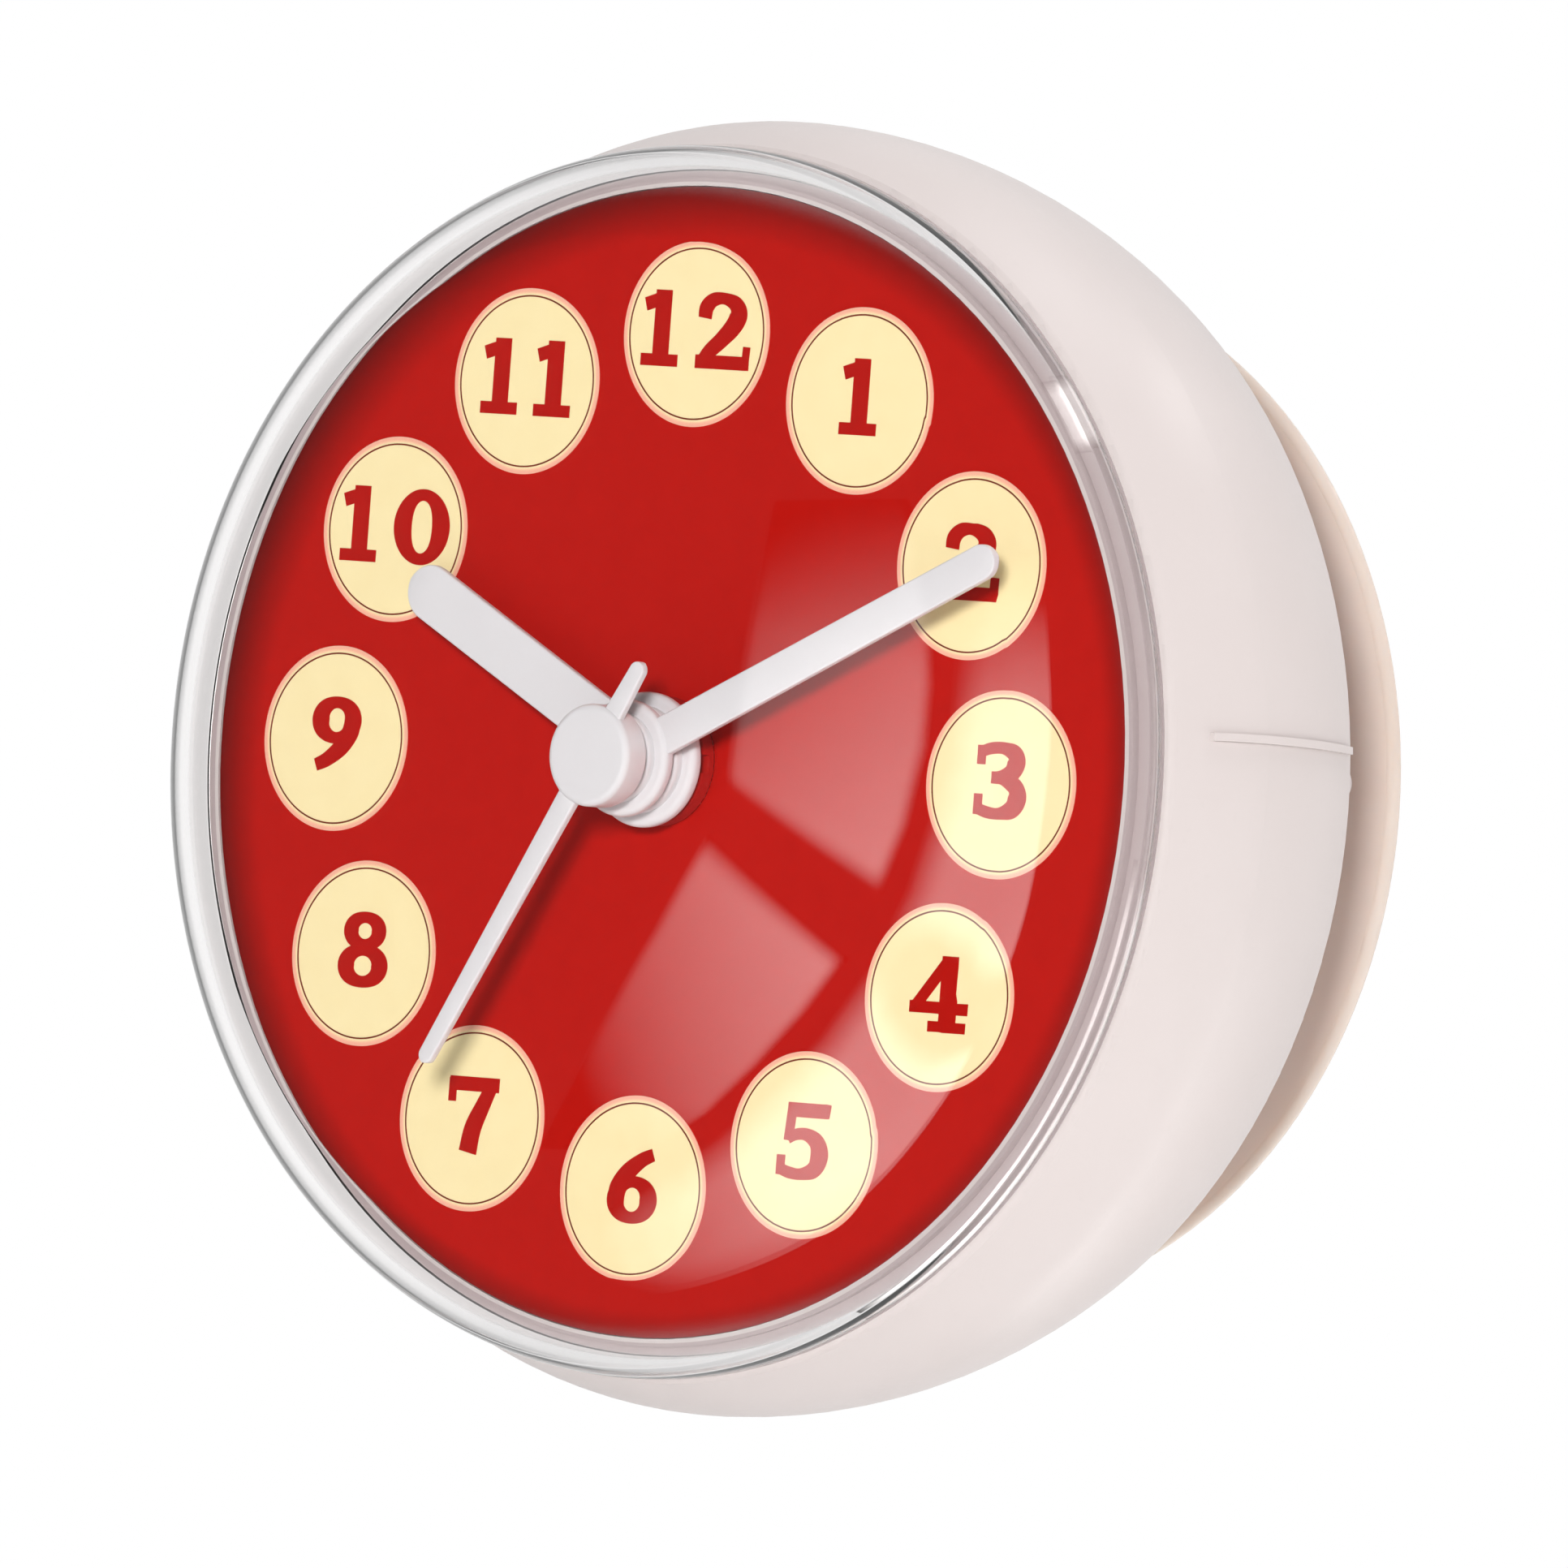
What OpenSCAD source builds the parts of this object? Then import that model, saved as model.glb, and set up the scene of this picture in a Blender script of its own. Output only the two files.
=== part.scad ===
// Waterproof suction-cup clock with a quartz movement, in millimetres.
// Every piece is drawn face up, with z counted from the wall to the viewer, and is then stood upright.

/* [Battery] */
// Diameter of the round cell
battery_d = 14.5; // [13:0.1:16]
// Length of the cell over its end cap
battery_l = 50.5; // [46:0.1:56]
// Diameter of the cell's end cap
cap_d = 5.5; // [4:0.1:7]
// Height of the cell's end cap
cap_h = 1; // [0.6:0.1:1.4]
// Free room round the cell in its bay
cell_clear = 0.2; // [0.1:0.05:0.4]

/* [Movement] */
// Wall of the movement's shells
movement_wall = 1.2; // [0.9:0.05:1.6]
// Outer corner radius of the movement
movement_corner = 7; // [6:0.1:8]
// Room for a contact at each end of the cell
contact_room = 1.55; // [1.2:0.05:2]
// Thickness of the contact strips
contact_t = 0.4; // [0.2:0.05:0.6]
// Height of the contact strips
contact_w = 7.4; // [6:0.1:9]
// Width of the rebate that the movement cover drops into
cover_seat = 0.6; // [0.4:0.05:0.8]
// Diameter of the setting knob
knob_d = 8; // [6:0.1:10]
// Height of the setting knob behind the movement
knob_h = 2.5; // [1.5:0.1:3.5]
// Diameter of the knob's shaft
knob_shaft_d = 2; // [1.6:0.1:2.4]

/* [Wheel train] */
// Tooth module of the going train
train_module = 0.25; // [0.22:0.005:0.27]
// Tooth module of the motion work
motion_module = 0.35; // [0.3:0.005:0.38]
// Thickness of every wheel
wheel_t = 0.8; // [0.6:0.05:1]
// Free height between one wheel and the next
level_gap = 1.2; // [1:0.05:1.6]
// Free height in front of the hour wheel
first_gap = 0.3; // [0.2:0.05:0.5]
// How far a pinion stands out of its wheel's mate on each side
pinion_over = 0.35; // [0.2:0.05:0.45]
// Diameter of the train's arbors
arbor_d = 0.9; // [0.7:0.05:1]
// Diameter of the post that carries the minute wheel
post_d = 1.5; // [1.2:0.05:1.8]
// Radial clearance of the pivots and tubes
run_clear = 0.05; // [0.02:0.01:0.08]
// Free room between the largest wheel and the battery bay
train_room = 0.88; // [0.5:0.02:1.4]
// Diameter of the rotor magnet
magnet_d = 5; // [4:0.1:5.6]
// Thickness of the rotor magnet
magnet_t = 1.4; // [1:0.05:1.8]
// Air gap between the magnet and the stator
air_gap = 0.35; // [0.25:0.05:0.6]
// Thickness of the stator plate
stator_t = 0.6; // [0.4:0.05:0.9]

/* [Coil and board] */
// Length of the winding
coil_l = 13; // [10:0.1:15]
// Diameter of the winding
coil_d = 6.2; // [5:0.1:7]
// Height of the coil's axis above 3 o'clock
coil_up = 20.5; // [19.5:0.1:21.5]
// Side of the square coil core
core_w = 1.6; // [1.2:0.1:2]
// Wall of the bobbin
bobbin_wall = 0.6; // [0.4:0.05:0.8]
// Width of the circuit board
board_w = 10; // [8:0.1:11]
// Length of the circuit board
board_l = 20; // [16:0.1:22]
// Thickness of the circuit board
board_t = 0.8; // [0.6:0.05:1.2]
// Diameter of the crystal can
crystal_d = 2; // [1.5:0.1:2.4]
// Length of the crystal can
crystal_l = 6; // [5:0.1:8]

/* [Hand tubes] */
// Diameter of the second hand's arbor
second_d = 1; // [0.8:0.05:1.2]
// Outer diameter of the minute hand's tube
cannon_d = 3.2; // [2.9:0.05:3.4]
// Outer diameter of the hour hand's tube
hour_tube_d = 5; // [4.6:0.05:5.4]
// Outer diameter of the threaded centre bush
bush_d = 7.2; // [6.8:0.05:7.6]
// Diameter of the bush's flange
bush_flange_d = 10.4; // [9.6:0.1:12]
// Thickness of the bush's flange
bush_flange_t = 0.9; // [0.6:0.05:1]
// Diameter of the round bush nut
nut_d = 8.6; // [8.4:0.05:8.8]
// Thickness of the bush nut
nut_t = 1; // [0.8:0.05:1.3]
// Thickness of the washer under the nut
washer_t = 0.2; // [0.15:0.05:0.4]

/* [Hands] */
// Thickness of the blades
hand_t = 0.6; // [0.5:0.05:0.9]
// Thickness of the hubs
hub_t = 1.1; // [1:0.05:1.4]
// Free height between the hubs
hub_gap = 1.1; // [0.8:0.05:1.4]
// Gap between the bush nut and the hour hand
nut_gap = 0.3; // [0.2:0.05:0.6]
// Hub diameter of the hour hand
hour_hub_d = 9; // [8:0.1:10]
// Hub diameter of the minute hand
minute_hub_d = 7.8; // [7:0.1:8.6]
// Diameter of the second hand's cap
cap_hub_d = 6.8; // [6:0.1:7.6]
// Height of the second hand's cap
cap_hub_h = 2.3; // [1.8:0.05:2.6]
// Length of the hour hand from the axis
hour_len = 23.7; // [20:0.1:26]
// Width of the hour hand
hour_w = 3.75; // [3.4:0.05:4.8]
// Length of the minute hand from the axis
minute_len = 33.4; // [30:0.1:36]
// Width of the minute hand at its hub
minute_w = 2.65; // [2.4:0.05:3.4]
// Width of the minute hand at its tip
minute_tip_w = 2.4; // [1.4:0.1:2.6]
// Length of the second hand from the axis
second_len = 24.4; // [20:0.1:28]
// Length of the second hand's tail
second_tail = 7.3; // [5.5:0.1:9]
// Width of the second hand at its hub
second_w = 1.7; // [1.4:0.1:2.4]
// Width of the second hand at its tip
second_tip_w = 1.2; // [0.8:0.1:1.6]
// Angle of the hour hand at rest, clockwise from 12
hour_at = 297.5; // [0:0.5:360]
// Angle of the minute hand at rest, clockwise from 12
minute_at = 63.5; // [0:0.5:360]
// Angle of the second hand at rest, clockwise from 12
second_at = 210.5; // [0:0.5:360]

/* [Dial and case] */
// Thickness of the dial plate
dial_t = 0.8; // [0.6:0.05:1.2]
// Width of the ledge that the dial rests on
dial_ledge = 1; // [0.7:0.05:1.4]
// Radial room round the dial plate
dial_clear = 0.05; // [0.02:0.01:0.1]
// Free room between the minute hand's tip and the dial's edge
tip_room = 4.4; // [4:0.1:6]
// Radial room between the movement's corners and the case
case_clear = 0.7; // [0.4:0.05:1]
// Wall of the rim that the lens fits over
rim_wall = 1.3; // [1:0.05:1.6]
// How far the lip round the dial stands in front of it
rim_up = 0.15; // [0.05:0.05:0.3]
// Wall of the lip round the dial
lip_wall = 0.55; // [0.4:0.05:0.8]
// How far the rim stands in front of the shoulder
rim_stand = 1; // [0.85:0.05:1.3]
// How far the case's shoulder lies behind the dial's back
shoulder_back = 0.7; // [0.4:0.05:1]
// How far the belly swells past the shoulder
belly_out = 2.2; // [1.6:0.1:3]
// How far the belly's widest line lies behind the shoulder
belly_back = 7.7; // [6.5:0.1:9]
// How far the rear edge draws in from the shoulder
rear_in = 0.7; // [0.3:0.05:0.9]
// Rounding of the shoulder's edge
shoulder_round = 0.8; // [0.5:0.05:1]
// Rounding of the rear edge
rear_round = 1; // [0.6:0.05:1.2]
// Height of the locating rib on the case's side
rib_h = 0.35; // [0.2:0.05:0.5]
// Width of the locating rib, in degrees
rib_w = 0.7; // [0.5:0.05:1]
// Angle of the locating rib above 3 o'clock
rib_at = 5.6; // [4:0.1:8]

/* [Lens] */
// Radial room between the lens skirt and the rim
lens_clear = 0.1; // [0.05:0.01:0.15]
// Wall of the lens skirt
lens_skirt = 1.2; // [1.05:0.05:1.5]
// Thickness of the lens dome
lens_t = 1; // [0.8:0.05:1.15]
// Radius of the lens's rounded shoulder
lens_shoulder = 8; // [7.5:0.1:9]
// Slope where the shoulder meets the dome, in degrees
dome_slope = 12; // [10:0.5:14]
// Room between the second hand's cap and the dome
cap_room = 0.6; // [0.5:0.1:1.5]
// Thickness of the gasket under the lens
lens_gasket_t = 0.5; // [0.3:0.05:0.7]

/* [Back and cup] */
// Gap between the wall and the case's rear edge
wall_gap = 12.8; // [12:0.1:16]
// Thickness of the rear cover's plate
cover_t = 1.5; // [1.2:0.05:2]
// Thickness of the rear gasket
rear_gasket_t = 0.55; // [0.4:0.05:0.7]
// Thickness of the case's ledge that the bayonet lugs hook over
bayonet_ledge = 1.2; // [1:0.05:1.5]
// Thickness of the bayonet lugs
lug_t = 1.2; // [1:0.05:1.3]
// How far the lugs stand out
lug_out = 1.5; // [1.2:0.05:1.55]
// Width of a lug, in degrees
lug_w = 24; // [16:1:30]
// Turn that unlocks the case, in degrees
unlock_turn = 40; // [36:1:50]
// Width of the step that the rear gasket seals on
seal_step = 3.4; // [3.1:0.05:3.6]
// Play between the rear cover and the case
cover_play = 0.2; // [0.15:0.05:0.3]
// Play of the lugs along the axis
lug_play = 0.1; // [0.05:0.05:0.2]
// Wall of the rear cover's spigot ring
spigot_wall = 1.6; // [1.2:0.1:2]
// Radius of the suction cup's lip
cup_r = 34.9; // [30:0.1:36]
// Thickness of the cup's lip
lip_t = 1.2; // [0.8:0.1:1.6]
// Width of the flat ring that the lip seals with
lip_flat = 0.9; // [0.6:0.1:1.5]
// Height of the cup's crown above the wall
crown_h = 8.2; // [7.5:0.1:9]
// Radius of the cup's flat crown
crown_r = 11; // [10:0.1:13]
// Depth of the suction chamber
chamber_h = 5.8; // [5:0.1:6.2]
// Radius of the cup's neck
neck_r = 6; // [5:0.1:6.5]
// Length of the cup's neck
neck_l = 1.8; // [1.4:0.1:2]
// Radius of the cup's button head
head_r = 8.2; // [7.8:0.1:8.8]
// Height of the cup's button head
head_h = 2; // [1.5:0.1:2.1]
// Play of the button head in its socket
socket_play = 0.15; // [0.1:0.05:0.2]
// Wall of the cover's socket
socket_wall = 2; // [1.5:0.1:3]
// Angle of the rear cover's index tab above 3 o'clock
tab_at = 2.8; // [0:0.1:8]
// Width of the index tab
tab_w = 2.4; // [1.6:0.1:4]
// How far the index tab stands behind the case's edge
tab_h = 2.6; // [1.5:0.1:4]

/* [Hidden] */
$fn = 96;

// Small distances: overlap of joined shapes, push fits and gaps
eps = 0.02;
push_clear = run_clear / 5;
back_gap = 0.4;
rotor_gap = 0.25;
pivot_room = 0.5;
cell_pass = 0.3;
slot_clear = 0.12;
seal_inset = 0.3;
boss_gap = 0.25;
tube_short = 0.2;
boss_in = 0.9;
boss_play = 0.3;
washer_in = 0.1;
key_w = 1.2;
key_deep = 0.5;
cap_roof = 0.75;

// Tooth counts, from the rotor to the hands
rotor_teeth = 10;
intermediate_teeth = 50;
intermediate_leaves = 10;
second_teeth = 60;
second_leaves = 8;
third_teeth = 60;
third_leaves = 8;
center_teeth = 64;
cannon_leaves = 12;
minute_teeth = 36;
minute_leaves = 10;
hour_teeth = 40;
setting_leaves = 12;

// Tooth form, in modules: width at the pitch circle, height above it and depth below it
wheel_form = [1.45, 0.85, 1.15];
leaf_form = [1.05, 0.6, 1.35];
// Width of a tooth halfway up its rounded top and at its tip, as shares of its full width
top_form = [0.72, 0.25];

// Modules of the meshes that share an arbor distance with another mesh
center_module = train_module * (second_leaves + third_teeth) / (third_leaves + center_teeth);
hour_module = motion_module * (cannon_leaves + minute_teeth) / (minute_leaves + hour_teeth);

// Arbor places in the dial's plane, in degrees from 3 o'clock
third_dir = 160;
intermediate_dir = 35;
rotor_dir = 60;
minute_dir = 100;
setting_dir = 150;
third_xy = mesh_span(second_leaves, third_teeth, train_module) * aim(third_dir);
intermediate_xy = mesh_span(intermediate_leaves, second_teeth, train_module) * aim(intermediate_dir);
rotor_xy = intermediate_xy + mesh_span(rotor_teeth, intermediate_teeth, train_module) * aim(rotor_dir);
minute_xy = mesh_span(cannon_leaves, minute_teeth, motion_module) * aim(minute_dir);
setting_xy = minute_xy + mesh_span(setting_leaves, minute_teeth, motion_module) * aim(setting_dir);

// Size of the movement: it holds the cell below the wheels, or is as wide as the cell is long
length_half = battery_l / 2 + contact_room + movement_wall;
corner_x = battery_l / 2 + cell_clear - length_half + movement_corner;
corner_drop = movement_corner - sqrt(pow(movement_corner - movement_wall, 2) - pow(corner_x, 2));
wheel_reach = tip_r(center_teeth, center_module, wheel_form) + train_room;
height_half = wheel_reach + movement_wall + battery_d + 2 * cell_clear + corner_drop;
movement_half = max(length_half, height_half);
movement_w = 2 * movement_half;
battery_y = cell_clear + battery_d / 2 + corner_drop - movement_half;
bay_top = battery_y + battery_d / 2 + cell_clear;
chamber_low = bay_top + movement_wall;
level_pitch = wheel_t + level_gap;
train_depth = first_gap + wheel_t + 5 * level_pitch + pinion_over + rotor_gap + magnet_t + pivot_room;
movement_t = max(battery_d + 2 * cell_clear, train_depth + movement_wall) + movement_wall;
movement_corner_r = sqrt(2) * (movement_half - movement_corner) + movement_corner;

// Heights above the wall, from the back to the front
rear_h = wall_gap;
cover_back = rear_h + lug_play;
cover_front = cover_back + cover_t;
step_h = cover_front + rear_gasket_t + eps;
bayonet_h = step_h + bayonet_ledge;
lug_low = bayonet_h + lug_play;
lug_top = lug_low + lug_t;
movement_back = max(lug_top, cover_front + knob_h) + back_gap;
cover_in = movement_back + movement_wall;
movement_front = movement_back + movement_t;
plate_in = movement_front - movement_wall;
dial_face = movement_front + dial_t;
shoulder_h = movement_front - shoulder_back;
rim_top = dial_face + rim_up;
belly_h = shoulder_h - belly_back;
nut_top = dial_face + washer_t + nut_t;
hour_hand_h = nut_top + nut_gap;
minute_hand_h = hour_hand_h + hub_t + hub_gap;
second_hand_h = minute_hand_h + hub_t + hub_gap;
cap_top = second_hand_h + cap_hub_h;
blade_up = (hub_t - hand_t) / 2;

// Radii, from the movement out to the case
bore_r = movement_corner_r + case_clear;
seat_r = max(bore_r + dial_ledge, minute_len + tip_room);
dial_r = seat_r - dial_clear;
rim_r = seat_r + rim_wall;
lens_in_r = rim_r + lens_clear;
lens_r = lens_in_r + lens_skirt;
belly_r = lens_r + belly_out;
rear_r = lens_r - rear_in;
front_arc = (belly_back * belly_back + belly_out * belly_out) / (2 * belly_out);
rear_back = belly_h - rear_h;
rear_swell = belly_r - rear_r;
rear_arc = (rear_back * rear_back + rear_swell * rear_swell) / (2 * rear_swell);
rear_open_r = norm([battery_l / 2, battery_y - battery_d / 2]) + cell_pass;
recess_r = rear_open_r + seal_step;
lug_r = rear_open_r + lug_out;
slot_r = lug_r + slot_clear;
lug_from = 78;

// Depth of the pivot holes in the two shells
front_pivot = movement_wall * 0.7;
rear_pivot = movement_wall * 0.6;

// Motor: the stator's two arms reach from the rotor to the ends of the coil's core
pillar_r = 1.4;
arm_half = 1.8;
eye_r = 2.4;
yoke_w = 2;
magnet_top = level(6) - pinion_over - rotor_gap;
stator_low = magnet_top - magnet_t / 2 - stator_t / 2;
stator_top = stator_low + stator_t;
flange_t = 0.8;
flange_r = coil_d / 2 + 0.4;
coil_gap = 0.3;
core_over = 3;
coil_x = rotor_xy[0] - coil_l / 2;
coil_end = coil_l / 2 + core_over;
core_ends = [for (s = [-1, 1]) [coil_x + s * coil_end, coil_up]];
coil_h = stator_top + coil_gap + flange_r;
core_top = coil_h + core_w / 2;
spool_r = core_w / sqrt(2) + bobbin_wall;

// Circuit board at the left, held between pillars of the two shells
board_gap = 0.6;
board_up = 1;
board_low = cover_in + board_up;
board_top = board_low + board_t;
board_xy = [board_w / 2 - movement_half + movement_wall + board_gap, 4];
foot_inset = [2, 2.4];
foot_xy = [board_w / 2, board_l / 2] - foot_inset;
board_feet = [for (s = [-1, 1]) board_xy + [-foot_xy[0], s * foot_xy[1]]];
chip_at = board_xy + [1, -3];
crystal_at = board_xy + [1, 3];

// Cell: its axis, and the straight part of the end walls that the contacts lie on
battery_h = plate_in - cell_clear - battery_d / 2;
contact_h = min(contact_w, 2 * (battery_y + movement_half - movement_corner));

// Lens: a rounded shoulder that runs into a shallow dome
shoulder_turn = 90 - dome_slope;
arc_r = lens_r - lens_shoulder;
dome_at = arc_r + lens_shoulder * cos(shoulder_turn);
dome_r = dome_at / sin(dome_slope);
dome_rise = (lens_shoulder - lens_t) * sin(shoulder_turn) + (dome_r - lens_t) * (1 - cos(dome_slope));
lens_low = shoulder_h + lens_gasket_t;
shoulder_drop = 0.3;
arc_h = max(dial_face - shoulder_drop, cap_top + cap_room - dome_rise);
dome_h = arc_h + lens_shoulder * sin(shoulder_turn) - dome_r * cos(dome_slope);

function aim(a) = [cos(a), sin(a)];
function mesh_span(teeth, leaves, size) = (teeth + leaves) * size / 2;
function tip_r(teeth, size, form) = teeth * size / 2 + form[1] * size;
function level(n) = plate_in - first_gap - wheel_t - (n - 1) * level_pitch;
function bearing(from, to) = atan2(to[1] - from[1], to[0] - from[0]);

// One tooth as radius and angle pairs: radial flanks, then a rounded top
function tooth(teeth, size, form) =
    let (
        pitch = teeth * size / 2,
        half = form[0] / teeth * 180 / PI,
        rise = form[1] * size,
        left = [
            [pitch - form[2] * size, -half],
            [pitch, -half],
            [pitch + rise / 2, -top_form[0] * half],
            [pitch + rise, -top_form[1] * half]
        ]
    )
    concat(left, [for (i = [3 : -1 : 0]) [left[i][0], -left[i][1]]]);

function gear_outline(teeth, size, form, turn) =
    let (one = tooth(teeth, size, form))
    [for (i = [0 : teeth - 1]) for (p = one) p[0] * aim(turn + 360 / teeth * i + p[1])];

// A wheel turns a tooth towards its mate, and a pinion turns a gap towards it
module wheel(teeth, size, thick, mate_dir) {
    linear_extrude(thick) polygon(gear_outline(teeth, size, wheel_form, mate_dir));
}

module pinion(leaves, size, thick, mate_dir) {
    linear_extrude(thick) polygon(gear_outline(leaves, size, leaf_form, mate_dir + 180 / leaves));
}

module pinion_at(leaves, size, n, mate_dir) {
    translate([0, 0, level(n) - pinion_over])
        pinion(leaves, size, wheel_t + 2 * pinion_over, mate_dir);
}

// Plain shapes that repeat
module upright() {
    rotate([90, 0, 0]) children();
}

module rod(r, low, high) {
    translate([0, 0, low]) cylinder(r = r, h = high - low);
}

module tube(out_r, in_r, low, high) {
    difference() {
        rod(out_r, low, high);
        rod(in_r, low - 1, high + 1);
    }
}

module slab(x, y, low, high) {
    translate([-x / 2, -y / 2, low]) cube([x, y, high - low]);
}

module rounded_square(w, r) {
    square([w - 2 * r, w], center = true);
    square([w, w - 2 * r], center = true);
    for (sx = [-1, 1], sy = [-1, 1]) {
        translate([sx, sy] * (w / 2 - r)) circle(r);
    }
}

// Plan of the movement, drawn in by a margin and kept between two heights on the dial
module movement_plan(margin, low, high) {
    intersection() {
        rounded_square(movement_w - 2 * margin, movement_corner - margin);
        translate([-movement_w, low]) square([2 * movement_w, high - low]);
    }
}

// Part of a ring with a square section
module ring_sector(in_r, out_r, low, high, from, angle) {
    rotate([0, 0, from])
        rotate_extrude(angle = angle)
            translate([in_r, low]) square([out_r - in_r, high - low]);
}

// The case: a barrel of two arcs that meet at the belly, with rounded edges
module barrel(grow) {
    intersection() {
        translate([belly_r - front_arc, belly_h]) circle(front_arc + grow);
        translate([rear_open_r, belly_h]) square([belly_r, belly_back]);
    }
    intersection() {
        translate([belly_r - rear_arc, belly_h]) circle(rear_arc + grow);
        translate([rear_open_r, rear_h]) square([belly_r, rear_back]);
    }
}

// Rounds the barrel where one of its arcs meets a flat end
module rounded_end(arc, end_h, fillet, side) {
    heart = [belly_r - arc, belly_h];
    spot_h = end_h + side * fillet;
    spot = [heart[0] + sqrt(pow(arc - fillet, 2) - pow(belly_h - spot_h, 2)), spot_h];
    out = (spot - heart) / (arc - fillet);
    touch = heart + (arc + 2) * out;
    difference() {
        children();
        polygon([[spot[0], end_h - side], spot, touch, [touch[0] + 5, end_h - side]]);
    }
    translate(spot) circle(fillet);
}

module case_profile() {
    difference() {
        union() {
            rounded_end(front_arc, shoulder_h, shoulder_round, -1)
                rounded_end(rear_arc, rear_h, rear_round, 1)
                    barrel(0);
            translate([bore_r, shoulder_h - 1]) square([rim_r - bore_r, rim_stand + 1]);
            translate([bore_r, shoulder_h - 1])
                square([seat_r + lip_wall - bore_r, rim_top - shoulder_h + 1]);
        }
        translate([0, bayonet_h]) square([bore_r, movement_front - bayonet_h]);
        translate([0, movement_front]) square([seat_r, rim_up + dial_t + 1]);
        translate([0, rear_h - 1]) square([recess_r, step_h - rear_h + 1]);
        square([rear_open_r, dial_face]);
    }
}

module case_body() {
    stop_gap = 0.6;
    stop_w = 4;
    slot_extra = 1.5;
    root = 0.5;
    rib_front = 2.6;
    nub_r = 0.7;
    color("white") {
        difference() {
            rotate_extrude() case_profile();
            for (i = [0 : 2]) {
                ring_sector(rear_open_r - 1, slot_r, step_h - 1, bayonet_h + 1,
                    120 * i + lug_from - unlock_turn - slot_extra, lug_w + 2 * slot_extra);
            }
        }
        for (i = [0 : 2]) {
            ring_sector(rear_open_r + cover_play, bore_r + root, bayonet_h - root, lug_top,
                120 * i + lug_from + lug_w + stop_gap, stop_w);
        }
        rotate([0, 0, rib_at - rib_w / 2])
            rotate_extrude(angle = rib_w)
                intersection() {
                    barrel(rib_h);
                    translate([rear_r - 2 * root, rear_h + rear_round])
                        square([belly_r, shoulder_h - rib_front - rear_h - rear_round]);
                }
        rotate([0, 0, rib_at])
            translate([rear_r, 0, rear_h + rear_round + nub_r])
                sphere(nub_r);
    }
}

// The lens: outer shape, less the same shape drawn in by the wall
module lens_outline(wall, side_r, low) {
    arc = lens_shoulder - wall;
    split = arc_r + arc * cos(shoulder_turn);
    intersection() {
        union() {
            intersection() {
                translate([0, dome_h]) circle(dome_r - wall, $fn = 400);
                translate([0, low]) square([split, dome_r]);
            }
            intersection() {
                translate([arc_r, arc_h]) circle(arc);
                translate([split - eps, low]) square([lens_r, lens_r]);
            }
            translate([0, low]) square([side_r, arc_h - low]);
        }
        translate([0, low]) square([side_r, lens_r]);
    }
}

module front_lens() {
    color([0.85, 0.9, 0.92, 0.35])
        rotate_extrude()
            difference() {
                lens_outline(0, lens_r, lens_low);
                lens_outline(lens_t, lens_in_r, lens_low - 1);
            }
}

module lens_gasket() {
    color("gainsboro") tube(lens_r - shoulder_round, lens_in_r - lens_clear, shoulder_h, lens_low);
}

module dial_plate() {
    color("firebrick") tube(dial_r, bush_d / 2 + run_clear, movement_front, dial_face);
}

// Movement shells
module movement_base() {
    color("dimgray") {
        difference() {
            translate([0, 0, movement_back])
                linear_extrude(movement_t) rounded_square(movement_w, movement_corner);
            translate([0, 0, movement_back - 1])
                linear_extrude(plate_in - movement_back + 1) {
                    movement_plan(movement_wall, chamber_low, movement_w);
                    movement_plan(movement_wall, -movement_w, bay_top);
                }
            translate([0, 0, movement_back - 1])
                linear_extrude(movement_wall + 1)
                    movement_plan(movement_wall - cover_seat, chamber_low - cover_seat, movement_w);
            rod(bush_d / 2 + run_clear, plate_in - 1, movement_front + 1);
            rod(bush_flange_d / 2 + run_clear, movement_front - bush_flange_t, movement_front + 1);
            for (p = [third_xy, intermediate_xy, rotor_xy]) {
                translate(p) rod(arbor_d / 2 + run_clear, plate_in - 1, plate_in + front_pivot);
            }
            translate(setting_xy)
                rod(knob_shaft_d / 4 + run_clear, plate_in - 1, plate_in + front_pivot);
        }
        translate(minute_xy) rod(post_d / 2, level(2) - pinion_over, plate_in + eps);
        for (p = core_ends) {
            translate(p) rod(pillar_r, core_top + run_clear, plate_in + eps);
        }
        for (p = board_feet) {
            translate(p) rod(pillar_r, board_top, plate_in + eps);
        }
    }
}

module movement_cover() {
    fit = 0.05;
    color("black") {
        difference() {
            translate([0, 0, movement_back])
                linear_extrude(movement_wall)
                    movement_plan(movement_wall - cover_seat + fit,
                        chamber_low - cover_seat + fit, movement_w);
            for (p = [third_xy, intermediate_xy, rotor_xy]) {
                translate(p) rod(arbor_d / 2 + run_clear, cover_in - rear_pivot, cover_in + 1);
            }
            rod(second_d / 2 + run_clear, cover_in - rear_pivot, cover_in + 1);
            translate(setting_xy)
                rod(knob_shaft_d / 2 + run_clear, movement_back - 1, cover_in + 1);
        }
        for (p = core_ends) {
            translate(p) rod(pillar_r, cover_in - eps, stator_low);
        }
        for (p = board_feet) {
            translate(p) rod(pillar_r, cover_in - eps, board_low);
        }
    }
}

module center_bush() {
    color("goldenrod")
        difference() {
            union() {
                rod(bush_d / 2, plate_in, nut_top);
                rod(bush_flange_d / 2, movement_front - bush_flange_t, movement_front);
            }
            rod(hour_tube_d / 2 + run_clear, plate_in - 1, nut_top + 1);
        }
}

module bush_washer() {
    color("silver") tube(nut_d / 2 - washer_in, bush_d / 2 + run_clear, dial_face, dial_face + washer_t);
}

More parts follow.
